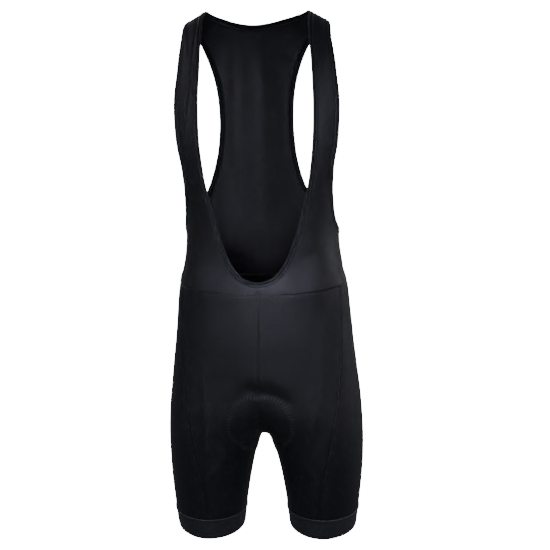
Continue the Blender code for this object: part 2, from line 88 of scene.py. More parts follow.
print(len(SECTIONS), "sections of the form, from", SECTIONS[0].level, "to", SECTIONS[-1].level, "m")

# %% [markdown]
# ## Curves
# Cut edges of knit are long smooth curves. Splines or curve objects could draw them. A Hermite curve
# through a few marks gives them without corners, and the same formula fills in any table of sizes.

# %% Curves through marks
def through_rows(keys, values, at):
    """Smooth curve through rows of values; each row's slope comes from its neighbours."""
    keys = np.asarray(keys, float)
    values = np.asarray(values, float)
    slopes = np.gradient(values, keys, axis=0)
    place = np.clip(np.searchsorted(keys, at) - 1, 0, len(keys) - 2)
    span = keys[place + 1] - keys[place]
    t = (at - keys[place]) / span
    if values.ndim > 1:
        t = t[:, None]
        span = span[:, None]
    start, end = values[place], values[place + 1]
    rise = (1 - t) ** 2 * t * span * slopes[place] - (1 - t) * t ** 2 * span * slopes[place + 1]
    return start + (end - start) * t * t * (3 - 2 * t) + rise


def ease(share):
    """Rises from 0 to 1 without a corner as the share does."""
    kept = np.clip(share, 0.0, 1.0)
    return kept * kept * (3 - 2 * kept)


print("a share of 0.25 eases to", round(float(ease(0.25)), 3))

# %% [markdown]
# A tape laid along a curve measures it. The same measure places what is sewn on it at true distances.

# %% Measures along a path
FINE = 160                # points of the curves that the edges are read from


def lengths_along(path):
    """Running length at each point of a path."""
    steps = np.linalg.norm(np.diff(path, axis=0), axis=1)
    return np.concatenate([[0.0], np.cumsum(steps)])


def points_at(path, distances):
    """Points of a path at given running lengths."""
    along = lengths_along(path)
    return np.stack([np.interp(distances, along, path[:, axis]) for axis in range(3)], axis=1)


def spread_evenly(path, count):
    """The same path with its points evenly spaced."""
    return points_at(path, np.linspace(0.0, lengths_along(path)[-1], count))


def closed_curve(points, step):
    """Smooth closed curve through the points, in even steps; its first point comes first."""
    wrapped = np.concatenate([points[-3:], points, points[:4]])
    keys = lengths_along(wrapped)
    inner = np.linspace(keys[3], keys[3 + len(points)], FINE * 4)
    fine = through_rows(keys, wrapped, inner)
    count = 2 * round(lengths_along(fine)[-1] / step / 2)
    return spread_evenly(fine, count + 1)[:-1]


corner = np.array([(0.0, 0.0, 0.0), (0.3, 0.0, 0.0), (0.3, 0.4, 0.0)])
print("a path of 0.3 and 0.4 m is", lengths_along(corner)[-1], "m long")

# %% [markdown]
# ## The form under the bib
# The torso is a superellipse at each level, a little squarer than an ellipse as a real body is.
# Above the chest line the same section is turned over the shoulders, so one surface carries the
# straps without a seam in the form itself.

# %% Form under the bib
SHOULDER_RISE = 0.206     # height of the form's crown above the chest line
SHOULDER_SPREAD = 0.013   # how much wider the form is at the shoulders than at the chest line


def section_at(levels):
    """Side, front and back reach of the form, and its squareness, at each level."""
    rows = np.array(SECTIONS)
    levels = np.asarray(levels, float)
    found = through_rows(rows[:, 0], rows[:, 1:], levels.ravel())
    return [column.reshape(levels.shape) for column in found.T]


def roundness(points):
    """1 on the form, less inside it and more outside: how far out each point of the bib lies."""
    x, y, z = points.T
    side, front, back, power = section_at(np.minimum(z, CHEST_LEVEL))
    depth = np.where(y < 0, front, back)
    lift = np.maximum(z - CHEST_LEVEL, 0.0) / SHOULDER_RISE
    outward = np.hypot(y / depth, lift)
    crown = lift / np.maximum(outward, 1e-9)
    spread = side + SHOULDER_SPREAD * crown ** 2
    return ((np.abs(x) / spread) ** power + outward ** power) ** (1 / power)


def lay_on_bib(points):
    """Points moved outward or inward onto the form, from the middle of their own ring."""
    scale = roundness(points)[:, None]
    ring_centre = np.zeros_like(points)
    ring_centre[:, 2] = np.minimum(points[:, 2], CHEST_LEVEL)
    return ring_centre + (points - ring_centre) / scale


def bib_normals(points):
    """Outward directions of the form at points of the bib."""
    probe = 1e-4
    slope = np.zeros_like(points)
    for axis in range(3):
        shift = np.zeros(3)
        shift[axis] = probe
        slope[:, axis] = roundness(points + shift) - roundness(points - shift)
    return slope / np.linalg.norm(slope, axis=1)[:, None]


waist_side, waist_front, waist_back, _ = section_at(WAIST_LEVEL)
print(f"waist of the form: {2000 * waist_side:.0f} x {1000 * (waist_front + waist_back):.0f} mm")

# %% [markdown]
# A cutter finds a place on the form with a tape. The tape runs up the front from the chest line
# (negative below it), over the shoulder and down the back.

# %% Tape over the shoulder
TAPE_OVER = 0.540         # tape length from the front chest line over the shoulder to the back one
Mark = namedtuple("Mark", "x tape")


def bib_point(mark):
    """Place of a guide mark on the form."""
    if 0.0 < mark.tape < TAPE_OVER:
        turn = math.pi * mark.tape / TAPE_OVER
        level = CHEST_LEVEL
        spread = SHOULDER_SPREAD * math.sin(turn) ** 2
    else:
        turn = 0.0 if mark.tape <= 0.0 else math.pi
        level = CHEST_LEVEL + min(mark.tape, TAPE_OVER - mark.tape)
        spread = 0.0
    side, front, back, power = section_at(level)
    x = min(mark.x, side + spread)
    height = (1 - (x / (side + spread)) ** power) ** (1 / power)
    depth = front if turn < math.pi / 2 else back
    y = -depth * height * math.cos(turn)
    return np.array([x, y, level + SHOULDER_RISE * height * math.sin(turn)])


def tape_reading(points):
    """Tape reading of points on the form, from low in front, over the shoulder, to low behind."""
    _, front, back, _ = section_at(np.minimum(points[:, 2], CHEST_LEVEL))
    below = np.minimum(points[:, 2] - CHEST_LEVEL, 0.0)
    lift = np.maximum(points[:, 2] - CHEST_LEVEL, 0.0) / SHOULDER_RISE
    ahead = -points[:, 1] / np.where(points[:, 1] < 0, front, back)
    turn = np.arctan2(lift, ahead) / math.pi
    return np.where(lift > 0, turn * TAPE_OVER, np.where(ahead >= 0, below, TAPE_OVER - below))


crown = bib_point(Mark(0.0, TAPE_OVER / 2))
print(f"the crown of the form lies at {crown[2]:.3f} m")

# %% [markdown]
# ## Edges and seams
# The cutter marks the neck and the armhole with that tape. Each mark gives a sideways distance and
# the tape's reading.

# %% Edge marks
NECKLINE = (
    Mark(0.0000, -0.2404),
    Mark(0.0259, -0.2324),
    Mark(0.0371, -0.2200),
    Mark(0.0552, -0.1830),
    Mark(0.0707, -0.1320),
    Mark(0.0816, -0.0870),
    Mark(0.0904, -0.0190),
    Mark(0.0922, 0.0360),
    Mark(0.0892, 0.1110),
    Mark(0.0869, 0.1600),
    Mark(0.0855, 0.2200),
    Mark(0.0830, 0.2750),
    Mark(0.0765, 0.3150),
    Mark(0.0640, 0.3390),
    Mark(0.0500, 0.3540),
    Mark(0.0340, 0.3660),
    Mark(0.0000, 0.3760),
)
AT_SIDE = 1.0             # more than any half width, so that the mark lies on the side line
ARMHOLE = (
    Mark(AT_SIDE, -0.1660),
    Mark(0.1245, -0.1480),
    Mark(0.1215, -0.1100),
    Mark(0.1237, -0.0610),
    Mark(0.1327, 0.0040),
    Mark(0.1340, 0.0500),
    Mark(0.1285, 0.1200),
    Mark(0.1215, 0.2000),
    Mark(0.1170, 0.2750),
    Mark(0.1070, 0.3450),
    Mark(0.0867, 0.4170),
    Mark(0.0705, 0.4730),
    Mark(0.0639, 0.5340),
    Mark(0.0705, 0.6020),
    Mark(0.0860, 0.6500),
    Mark(0.1120, 0.6900),
)
lowest = bib_point(NECKLINE[0])
print(f"{len(NECKLINE)} marks of the neck, from {lowest[2]:.3f} m, and {len(ARMHOLE)} of an armhole")

# %% [markdown]
# ## Edges of the bib
# The neck and armhole edges are laid on the form as closed curves. Everything sewn along them, the
# binding and the panel's own edge, is the same curve moved across the cloth, so the pieces fit.

# %% Edges of the bib
BINDING_STEP = 0.0025     # length of cloth edge between two rows of the bib


def edge_inside(edge, distance, turned):
    """A closed edge of the garment moved across the cloth, away from its opening."""
    ahead = np.roll(edge, -1, axis=0) - np.roll(edge, 1, axis=0)
    across = np.cross(ahead, bib_normals(edge)) * turned
    across /= np.linalg.norm(across, axis=1)[:, None]
    return lay_on_bib(edge + across * distance)


def neckline():
    """Closed neck edge; it starts at the centre front and climbs the wearer's left side."""
    left = [bib_point(mark) for mark in NECKLINE]
    right = [point * (-1, 1, 1) for point in left[-2:0:-1]]
    return lay_on_bib(closed_curve(np.array(left + right), BINDING_STEP))


def armhole():
    """Closed edge of the left armhole; it starts under the arm and climbs the front."""
    marks = np.array([bib_point(mark) for mark in ARMHOLE])
    return lay_on_bib(closed_curve(marks, BINDING_STEP))


neck_edge = neckline()
arm_edge = armhole()
print(f"neck edge {lengths_along(neck_edge)[-1]:.3f} m, armhole {lengths_along(arm_edge)[-1]:.3f} m round")

# %% [markdown]
# The panels end just short of the bindings and of one another, so that no two pieces share a place.
# The shoulder seam lies a little behind the crown of the strap, where it doesn't press.

# %% Seams of the bib
BINDING_WIDTH = 0.008
SEAM_GAP = 0.0003
SHOULDER_SEAM = 0.305     # tape reading of the seam


def neck_seam():
    """Left half of the bib's edge along the neck binding, from centre front to centre back."""
    ring = edge_inside(neck_edge, BINDING_WIDTH + SEAM_GAP, 1)
    return ring[:len(ring) // 2 + 1]


def armhole_seam():
    """Bib's edge along the left armhole binding, from under the arm round to under the arm."""
    edge = edge_inside(arm_edge, BINDING_WIDTH + SEAM_GAP, -1)
    return np.concatenate([edge, edge[:1]])


def part_at_shoulder(path):
    """A path that climbs the front and goes down the back, parted at the shoulder seam.

    Both stretches start at their lower end.
    """
    crown = path[:, 2] > CHEST_LEVEL
    beside = np.where(crown, np.abs(tape_reading(path) - SHOULDER_SEAM), np.inf)
    seam = int(np.argmin(beside))
    return path[:seam + 1], path[seam:][::-1]


def waist_seam(facing):
    """Quarter of the waist seam, from the centre front (-1) or back (1) to the left side."""
    side, front, back, power = section_at(WAIST_LEVEL)
    depth = front if facing < 0 else back
    turn = np.linspace(0.0, math.pi / 2, FINE)
    x = side * np.sin(turn) ** (2 / power)
    y = facing * depth * np.cos(turn) ** (2 / power)
    return np.stack([x, y, np.full(FINE, WAIST_LEVEL)], axis=1)


def straight_on_bib(start, end):
    """Line between two points, laid on the form."""
    share = np.linspace(0.0, 1.0, FINE)[:, None]
    return lay_on_bib(start + (end - start) * share)


print(f"a quarter of the waist seam is {lengths_along(waist_seam(-1))[-1] * 1000:.0f} mm")

# %% [markdown]
# ## Panels of the bib
# A panel is a net between two long edges, gathered at both ends to meet the waist seam and the
# shoulder seam. A sheet that a cloth simulation drapes would also do, but this net meets its
# neighbours exactly and is the same each time.

# %% Panels of the bib
FRONT_COLUMNS = 52
SHOULDER_COLUMNS = 10
END_FADE = 7              # how close to a panel's ends its rows bend to meet the end seams


def spread_panel(inner, outer, bottom, top):
    """Grid of rows from the inner edge to the outer one, fitted to both end seams."""
    share = np.linspace(0.0, 1.0, len(bottom))[None, :, None]
    rows = inner[:, None, :] * (1 - share) + outer[:, None, :] * share
    up = np.linspace(0.0, 1.0, len(inner))[:, None, None]
    rows = rows + (1 - up) ** END_FADE * (bottom - rows[0]) + up ** END_FADE * (top - rows[-1])
    return lay_on_bib(rows.reshape(-1, 3)).reshape(rows.shape)


def side_and_armhole(arm, rows):
    """Outer edge of a bib panel: the side seam from the waist, then the armhole."""
    side_seam = straight_on_bib(waist_seam(-1)[-1], arm[0])
    return np.concatenate([spread_evenly(side_seam, rows - len(arm) + 1), arm[1:]])


def bib_front_grid():
    """Left front panel with its strap, from the waist seam up to the shoulder seam."""
    inner, _ = part_at_shoulder(neck_seam())
    arm, _ = part_at_shoulder(armhole_seam())
    outer = side_and_armhole(arm, len(inner))
    bottom = np.concatenate([inner[:1], spread_evenly(waist_seam(-1), FRONT_COLUMNS)])
    top = spread_evenly(straight_on_bib(inner[-1], arm[-1]), len(bottom))
    return spread_panel(inner, outer, bottom, top)


def bib_back_grid():
    """Left half of the back panel, from the waist seam up to the neck and shoulder seam."""
    front_neck, neck = part_at_shoulder(neck_seam())
    front_arm, arm = part_at_shoulder(armhole_seam())
    outer = side_and_armhole(arm, len(arm) + len(front_neck) - len(front_arm))
    shoulder = spread_evenly(straight_on_bib(neck[-1], arm[-1]), SHOULDER_COLUMNS + 1)
    top = np.concatenate([neck, shoulder[1:]])
    waist = waist_seam(1)
    inner = spread_evenly(straight_on_bib(waist[0], neck[0]), len(outer))
    return spread_panel(inner, outer, spread_evenly(waist, len(top)), top)


front_of_bib = bib_front_grid()
back_of_bib = bib_back_grid()
print("nets of the bib's front and back:", front_of_bib.shape[:2], back_of_bib.shape[:2])

# %% [markdown]
# ## Rings of the shorts
# Below the waist the two halves part at the crotch: each ring first ends on the middle plane, and
# under the crotch it closes round the leg. Two tubes joined to a third would need a patch between
# them. One formula for both keeps the seat smooth where the halves meet.

# %% Rings of the shorts
FRONT_RISE = 0.110        # height over which the centre seam runs under the crotch
BACK_RISE = 0.160
RISE_ROUNDNESS = 2.4
BRIDGE = 0.012            # half width of the saddle of cloth between the legs
HEM_GAP = 0.0392          # half the gap between the legs at the hem
GAP_POWER = 0.45          # less than 1, so the gap opens at once below the crotch


def leg_rings(levels, facing):
    """Quarter rings of the left half: centre, half width, depth, bridge, squareness, last turn.

    The turn counts from the outermost line.  Above the crotch a ring ends on the middle plane,
    nearer the crotch point the lower it lies.  Below it the ring closes round the leg.
    """
    side, front, back, power = section_at(levels)
    depth, rise = (front, FRONT_RISE) if facing < 0 else (back, BACK_RISE)
    fallen = np.clip((CROTCH_LEVEL + rise - levels) / rise, 0.0, 1.0)
    end_depth = (1 - fallen ** RISE_ROUNDNESS) ** (1 / RISE_ROUNDNESS)
    inward = (1 - end_depth ** power) ** (1 / power)
    below = np.maximum(CROTCH_LEVEL - levels, 0.0) / (CROTCH_LEVEL - HEM_LEVEL)
    bridge = BRIDGE * fallen
    reach = np.hypot(side, bridge)
    half = (reach - np.hypot(HEM_GAP * below ** GAP_POWER, bridge)) / (1 + inward)
    last_turn = math.pi - np.arccos(np.minimum(inward ** (power / 2), 1.0))
    return reach - half, half, depth, bridge, power, last_turn


def leg_points(levels, facing, turns):
    """Points of the form at given levels and turns from the outermost line."""
    centre, half, depth, bridge, power, _ = leg_rings(levels, facing)
    cosine = np.cos(turns)
    across = centre + half * np.sign(cosine) * np.abs(cosine) ** (2 / power)
    x = np.sqrt(np.maximum(across ** 2 - bridge ** 2, 0.0))
    y = facing * depth * np.abs(np.sin(turns)) ** (2 / power)
    return np.stack([x, y, levels], axis=-1)


hem = leg_rings(np.array(HEM_LEVEL), -1)
print(f"each leg is {2000 * float(hem[1]):.0f} mm wide at the hem")

# %% [markdown]
# ## Side seams
# The side panels' seams turn from the side of the waist to the front of the hem, which is where such
# shorts carry them, clear of the saddle.

# %% Side seams
# Degrees round the leg from its outermost line, forwards and backwards
SideSeam = namedtuple("SideSeam", "level forward backward")
SIDE_SEAMS = (
    SideSeam(-0.850, 94.0, 62.0),
    SideSeam(-0.800, 90.0, 58.0),
    SideSeam(-0.757, 82.0, 53.0),
    SideSeam(-0.707, 69.0, 47.0),
    SideSeam(-0.660, 53.0, 41.0),
    SideSeam(-0.600, 37.0, 34.0),
    SideSeam(-0.530, 29.0, 27.0),
    SideSeam(-0.452, 23.0, 20.0),
)


def side_seam_turns(levels, facing):
    """Turns of the side panel's front or back seam."""
    rows = np.array(SIDE_SEAMS)
    column = rows[:, 1] if facing < 0 else rows[:, 2]
    return np.radians(through_rows(rows[:, 0], column, levels.ravel())).reshape(levels.shape)


print(len(SIDE_SEAMS), "marks on each side seam, up to", SIDE_SEAMS[0].forward, "degrees forward")

# %% [markdown]
# ## Panels of the shorts
# Rows that sag towards the centre seam follow the real grain of the cloth there. The meshes are fine
# enough for folds a few millimetres wide.

# %% Panels of the shorts
TORSO_ROWS = 50
RISE_ROWS = 50
LEG_ROWS = 50
SHORTS_COLUMNS = 56
INNER_CROWDING = 1.4      # how much closer the columns stand near the centre seam and inseam
LEG_CROWDING = 1.5        # how much closer the rows stand just below the crotch


def outer_levels():
    """Levels of the shorts' rows on the outside of the leg."""
    return np.linspace(WAIST_LEVEL, LEG_BAND_LEVEL, TORSO_ROWS + RISE_ROWS + LEG_ROWS)


def inner_levels():
    """Levels of the same rows on the centre seams and inseam, which run under the crotch."""
    rise_top = CROTCH_LEVEL + FRONT_RISE
    torso = np.linspace(WAIST_LEVEL, rise_top, TORSO_ROWS, endpoint=False)
    turn = np.linspace(0.0, math.pi / 2, RISE_ROWS, endpoint=False)
    rise = rise_top - FRONT_RISE * np.sin(turn) ** (2 / RISE_ROUNDNESS)
    fall = np.linspace(0.0, 1.0, LEG_ROWS) ** LEG_CROWDING
    leg = CROTCH_LEVEL + (LEG_BAND_LEVEL - CROTCH_LEVEL) * fall
    return np.concatenate([torso, rise, leg])


def shorts_grid(facing):
    """Left front (-1) or back (1) panel: rows run from the centre seam or inseam outwards."""
    share = np.linspace(0.0, 1.0, SHORTS_COLUMNS) ** INNER_CROWDING
    inner = inner_levels()[:, None]
    levels = inner + (outer_levels()[:, None] - inner) * share
    last_turns = leg_rings(levels, facing)[-1]
    turns = last_turns + (side_seam_turns(levels, facing) - last_turns) * share
    return leg_points(levels, facing, turns)


print("each front and back panel has", len(outer_levels()), "rows of", SHORTS_COLUMNS, "points")

# %% [markdown]
# The side panels and the leg bands run round the outside of the leg, from a turn in front to one
# behind it.

# %% Side panels and leg bands
SIDE_COLUMNS = 44
LEG_BAND_COLUMNS = 180
LEG_BAND_ROWS = 18
BAND_OVERLAP = 0.0010     # the leg band lies this far over the shorts' edge


def ring_points(levels, first_front, last_back, count):
    """Rows from a front turn, round the outside of the leg, to a back turn."""
    rows = []
    for level, first, last in zip(levels, first_front, last_back):
        flat = np.full(FINE, level)
        ahead = leg_points(flat, -1, np.linspace(first, 0.0, FINE))
        behind = leg_points(flat, 1, np.linspace(0.0, last, FINE))
        rows.append(spread_evenly(np.concatenate([ahead, behind[1:]]), count))
    return np.array(rows)


def shorts_side_grid():
    """Left side panel, from its front seam round the outside of the leg to its back seam."""
    levels = outer_levels()
    forward = side_seam_turns(levels, -1)
    backward = side_seam_turns(levels, 1)
    return ring_points(levels, forward, backward, SIDE_COLUMNS)


def leg_band_grid():
    """Left leg band: rings from the shorts' lower seam to the hem."""
    levels = np.linspace(LEG_BAND_LEVEL + BAND_OVERLAP, HEM_LEVEL, LEG_BAND_ROWS)
    whole_turn = np.full(LEG_BAND_ROWS, math.pi)
    return ring_points(levels, whole_turn, whole_turn, LEG_BAND_COLUMNS + 1)[:, :-1]


hem_ring = leg_band_grid()[-1]
print(f"the hem is {lengths_along(np.concatenate([hem_ring, hem_ring[:1]]))[-1] * 1000:.0f} mm round")

# %% [markdown]
# ## Pose
# A worn garment is never quite even. The back hangs a little to one side, the waist seam rises at
# the sides, and the hems tilt. All pieces are moved by this one function, so their seams stay shut.

# %% Pose
BACK_SLIDE = 0.0175       # the upper back hangs this far towards the wearer's right
SLIDE_DEPTH = 0.100       # it is full this far behind the middle
SLIDE_START = -0.420      # the levels where it starts and where it is full
SLIDE_FULL = -0.290
SHOULDER_SHIFT = 0.0035   # both straps lean the same way
SHIFT_START = -0.100      # level where the lean starts; it is full at the level of the origin
HEM_TILT = 0.036          # drop of a hem for each metre towards the wearer's left
HEM_DIP = 0.070           # drop of a hem for each metre forwards
LEG_AXIS = 0.094          # distance of a leg's middle from the middle plane
LEG_LIFT = 0.001          # the left leg hangs this far higher, the right one as much lower
WAIST_LIFT = 0.006        # how far the waist seam rises at the sides
WAIST_SPREAD = 0.050      # height over which that rise fades, up and down


def posed(points):
    """Points of the evenly built form, moved into the garment's own slightly uneven pose."""
    x, y, z = np.moveaxis(points, -1, 0)
    slide = BACK_SLIDE * ease(y / SLIDE_DEPTH) * ease((z - SLIDE_START) / (SLIDE_FULL - SLIDE_START))
    shift = SHOULDER_SHIFT * ease(1 - z / SHIFT_START)
    leg = np.sign(x)
    hang = ease((CROTCH_LEVEL - z) / (CROTCH_LEVEL - HEM_LEVEL))
    hem = hang * (LEG_LIFT * leg - HEM_TILT * (x - LEG_AXIS * leg) + HEM_DIP * y)
    sideways = (x / section_at(WAIST_LEVEL)[0]) ** 2
    waist = WAIST_LIFT * sideways * np.exp(-((z - WAIST_LEVEL) / WAIST_SPREAD) ** 2)
    return np.stack([x - slide - shift, y, z + hem + waist], axis=-1)


moved = posed(np.array([0.0, SLIDE_DEPTH, SLIDE_FULL]))[0]
print(f"the middle of the back hangs {abs(moved) * 1000:.0f} mm to the side")

# %% [markdown]
# ## Folds and unevenness
# Stretched knit lies smooth over the body of the form. It folds where it hangs loose on the straps,
# drags from the pad, and bends where the front turns to the side. Sculpting could draw the folds.
# Here each crease is placed one by one as a soft ridge or trough that dies away at its ends, so that a
# line of a table says where it runs.

# %% Creases
# Places are sideways distance and height as seen from one side; bow bends a crease sideways
Crease = namedtuple("Crease", "seen_from across low_from end_across end_height width rise bow")
CREASES = (
    # straps
    Crease("front", -0.0935, -0.020, -0.1107, -0.168, 0.0026, 0.0016, 0.0016),
    Crease("front", -0.0985, -0.020, -0.1150, -0.165, 0.0022, -0.0012, 0.0018),
    Crease("front", -0.1187, -0.014, -0.1120, -0.070, 0.0032, 0.0011, 0.0),
    Crease("front", -0.1060, -0.150, -0.1190, -0.235, 0.0060, 0.0010, -0.003),
    Crease("front", 0.1010, -0.015, 0.1120, -0.110, 0.0060, 0.0007, 0.002),
    Crease("front", 0.1180, -0.130, 0.1090, -0.250, 0.0070, 0.0009, -0.003),
    Crease("front", 0.0980, -0.235, 0.1100, -0.330, 0.0080, 0.0008, 0.0),
    # lower bib
    Crease("front", 0.0150, -0.4530, 0.1050, -0.4490, 0.0230, 0.0036, 0.0),
    Crease("front", 0.0700, -0.4000, 0.1150, -0.3600, 0.0110, -0.0008, -0.003),
    Crease("front", 0.0900, -0.3850, 0.0850, -0.3300, 0.0110, 0.0008, 0.002),
    Crease("front", -0.1050, -0.4490, -0.0150, -0.4530, 0.0200, 0.0022, 0.0),
    Crease("front", -0.0900, -0.4130, -0.1080, -0.3600, 0.0090, -0.0009, 0.003),
    # shorts, front
    Crease("front", -0.0970, -0.580, -0.0895, -0.650, 0.0110, 0.0018, 0.002),
    Crease("front", -0.0895, -0.640, -0.0905, -0.800, 0.0080, 0.0024, 0.001),
    Crease("front", -0.0780, -0.640, -0.0770, -0.745, 0.0080, -0.0010, -0.002),
    Crease("front", 0.0990, -0.555, 0.0915, -0.665, 0.0060, 0.0015, 0.003),
    Crease("front", 0.0905, -0.650, 0.0760, -0.715, 0.0060, 0.0013, 0.002),
    Crease("front", -0.0600, -0.720, -0.0880, -0.765, 0.0060, 0.0012, 0.002),
    Crease("front", 0.0620, -0.718, 0.0850, -0.762, 0.0060, 0.0013, -0.002),
    Crease("front", -0.0500, -0.745, -0.0700, -0.800, 0.0070, -0.0010, 0.002),
    Crease("front", 0.0520, -0.745, 0.0700, -0.802, 0.0070, -0.0011, -0.002),
    # over the pad, and the crotch drawn up between its halves
    Crease("front", -0.0400, -0.6580, 0.0400, -0.6580, 0.0180, 0.0018, 0.006),
    Crease("front", -0.0260, -0.5850, 0.0500, -0.6030, 0.0170, 0.0022, 0.005),
    Crease("front", -0.0240, -0.6090, 0.0460, -0.6310, 0.0080, -0.0020, 0.005),
    Crease("below", 0.0000, -0.7600, 0.0000, -0.6600, 0.0110, -0.0055, 0.0),
    # sides and back
    Crease("right", -0.0300, -0.440, 0.0350, -0.425, 0.0080, 0.0010, 0.002),
    Crease("left", -0.0250, -0.430, 0.0400, -0.415, 0.0080, -0.0010, -0.002),
    Crease("right", -0.0100, -0.640, 0.0050, -0.790, 0.0090, 0.0011, 0.003),
    Crease("left", 0.0100, -0.620, -0.0020, -0.780, 0.0085, 0.0012, -0.003),
    Crease("back", -0.0510, -0.060, -0.0500, -0.300, 0.0080, 0.0016, -0.006),
    Crease("back", 0.0090, -0.120, 0.0180, -0.300, 0.0080, 0.0006, 0.003),
    Crease("back", -0.0130, -0.060, -0.0150, -0.330, 0.0270, 0.0098, 0.0),
    Crease("back", -0.0900, -0.415, -0.0250, -0.432, 0.0080, 0.0012, 0.003),
    Crease("back", 0.0850, -0.405, 0.0300, -0.428, 0.0085, 0.0011, -0.003),
    Crease("back", -0.0400, -0.690, -0.0950, -0.728, 0.0060, 0.0016, 0.004),
    Crease("back", 0.0450, -0.688, 0.1000, -0.730, 0.0060, 0.0015, -0.004),
    Crease("back", -0.0500, -0.704, -0.0880, -0.748, 0.0055, -0.0012, 0.003),
    Crease("back", 0.0520, -0.706, 0.0900, -0.752, 0.0055, -0.0013, -0.003),
    Crease("back", -0.0900, -0.630, -0.0860, -0.800, 0.0080, 0.0012, 0.002),
    Crease("back", 0.0880, -0.640, 0.0860, -0.805, 0.0080, 0.0011, -0.002),
)
print(f"{len(CREASES)} creases, the highest {1000 * max(crease.rise for crease in CREASES):.1f} mm")

# %% [markdown]
# A crease is a bell across its line, full only on cloth that faces the side it is seen from.

# %% Height of the creases
SEEN_FROM = {             # for each side: the axis that runs across the view, and where it faces
    "front": (0, (0, -1, 0)),
    "back": (0, (0, 1, 0)),
    "left": (1, (1, 0, 0)),
    "right": (1, (-1, 0, 0)),
    "below": (0, (0, 0, -1)),
}
CREASE_FADE = 0.18        # share of a crease's length over which it dies away, past each end
CREASE_TURN = 2.5         # how soon a crease is full on cloth that turns to face the viewer


def crease_height(crease, points, normals):
    """Height that one crease adds at each point of the cloth."""
    axis, facing = SEEN_FROM[crease.seen_from]
    flat = np.stack([points[..., axis], points[..., 2]], axis=-1)
    start = np.array([crease.across, crease.low_from])
    run = np.array([crease.end_across, crease.end_height]) - start
    length = np.linalg.norm(run)
    share = (flat - start) @ run / length ** 2
    aside = (flat - start) @ np.array([-run[1], run[0]]) / length
    kept = np.clip(share, 0.0, 1.0)
    aside = aside - 4 * crease.bow * kept * (1 - kept)
    start_fade = ease((share + CREASE_FADE) / (2 * CREASE_FADE))
    end_fade = ease((1 + CREASE_FADE - share) / (2 * CREASE_FADE))
    seen = ease(CREASE_TURN * (normals @ np.array(facing)))
    return crease.rise * np.exp(-(aside / crease.width) ** 2) * (start_fade * end_fade) * seen


print("a crease dies away over", 2 * CREASE_FADE, "of its length at each end")

# %% [markdown]
# Between the creases, stretched cloth is never quite flat. A slow noise in space lifts it a little.

# %% Slow unevenness
LUMP_SIZE = 0.045         # the slow unevenness of stretched cloth
LUMP_HEIGHT = 0.0005


def lumps(points, size, height):
    """Slow random unevenness; neighbouring pieces share it, so their edges still meet."""
    flat = points.reshape(-1, 3) / size
    values = np.array([noise.noise(Vector(point)) for point in flat])
    return height * values.reshape(points.shape[:-1])


def cloth_height(points, normals):
    """Height of the worn cloth above the smooth form."""
    height = lumps(points, LUMP_SIZE, LUMP_HEIGHT)
    for crease in CREASES:
        height = height + crease_height(crease, points, normals)
    return height


belly_height = cloth_height(np.array([[0.0, -0.1, -0.5]]), np.array([[0.0, -1.0, 0.0]]))[0]
print(f"height of the cloth in front of the belly: {belly_height * 1000:.2f} mm")

# %% [markdown]
# ## Where the pad shows
# The pad is sewn to the inside with a wide zigzag that goes all round it. Outside it shows as a
# raised field with a soft rim, a line of stitches, and a shallow groove above it where the cloth
# bridges to the belly.

# %% Outline of the pad
# Half widths along the cloth, from the centre seam or inseam, at heights from the crotch
PadRow = namedtuple("PadRow", "height half_width")
PAD_FRONT = (
    PadRow(-0.0280, 0.0000),
    PadRow(-0.0240, 0.0130),
    PadRow(-0.0180, 0.0290),
    PadRow(-0.0125, 0.0450),
    PadRow(-0.0050, 0.0690),
    PadRow(-0.0010, 0.0815),
    PadRow(0.0029, 0.0820),
    PadRow(0.0100, 0.0750),
    PadRow(0.0205, 0.0690),
    PadRow(0.0440, 0.0556),
    PadRow(0.0635, 0.0435),
    PadRow(0.0750, 0.0310),
    PadRow(0.0823, 0.0190),
    PadRow(0.0855, 0.0000),
)
PAD_BACK = (
    PadRow(-0.0280, 0.0000),
    PadRow(-0.0240, 0.0150),
    PadRow(-0.0180, 0.0340),
    PadRow(-0.0125, 0.0520),
    PadRow(-0.0050, 0.0770),
    PadRow(-0.0010, 0.0910),
    PadRow(0.0040, 0.0970),
    PadRow(0.0150, 0.1000),
    PadRow(0.0350, 0.0930),
    PadRow(0.0600, 0.0840),
    PadRow(0.0950, 0.0640),
    PadRow(0.1200, 0.0400),
    PadRow(0.1320, 0.0200),
    PadRow(0.1360, 0.0000),
)
print(f"half widths of the pad: {len(PAD_FRONT)} rows in front, {len(PAD_BACK)} behind")

# %% [markdown]
# The table is read for each row of a panel and measured off along that row, so the outline lies in
# the cloth itself.

# %% Lay the outline on the cloth
def pad_half_width(rows, height):
    """Half width of the pad where a row of the shorts starts, 0 off its ends."""
    table = np.array(rows)
    if not table[0, 0] < height < table[-1, 0]:
        return 0.0
    return float(np.interp(height, table[:, 0], table[:, 1]))


def pad_side(grid, rows):
    """The pad's edge on a left panel, from its lower end up, and its half width at each row."""
    widths = [pad_half_width(rows, row[0, 2] - CROTCH_LEVEL) for row in grid]
    side = [points_at(row, [width])[0] for row, width in zip(grid, widths) if width > 0]
    return np.array(side[::-1]), np.array(widths)


def pad_outline():
    """Edge of the pad's left half, from the centre front under the leg to the centre back."""
    front, _ = pad_side(shorts_grid(-1), PAD_FRONT)
    back, _ = pad_side(shorts_grid(1), PAD_BACK)
    return np.concatenate([front[::-1], back])


pad_edge = pad_outline()
print(f"half of the pad's outline is {lengths_along(pad_edge)[-1] * 1000:.0f} mm long")

# %% [markdown]
# The lift of the cloth is worked out from each point's way in from that outline.

# %% Rise of the pad
PAD_RISE = 0.0013         # how far the pad lifts the cloth
PAD_RIM = 0.0095
PAD_GROOVE = 0.0008
GROOVE_FROM_RIM = 0.0080
GROOVE_WIDTH = 0.0090
GROOVE_START = 0.030      # height above the crotch where the groove starts
GROOVE_FADE = 0.040       # and over which it comes up to its full depth


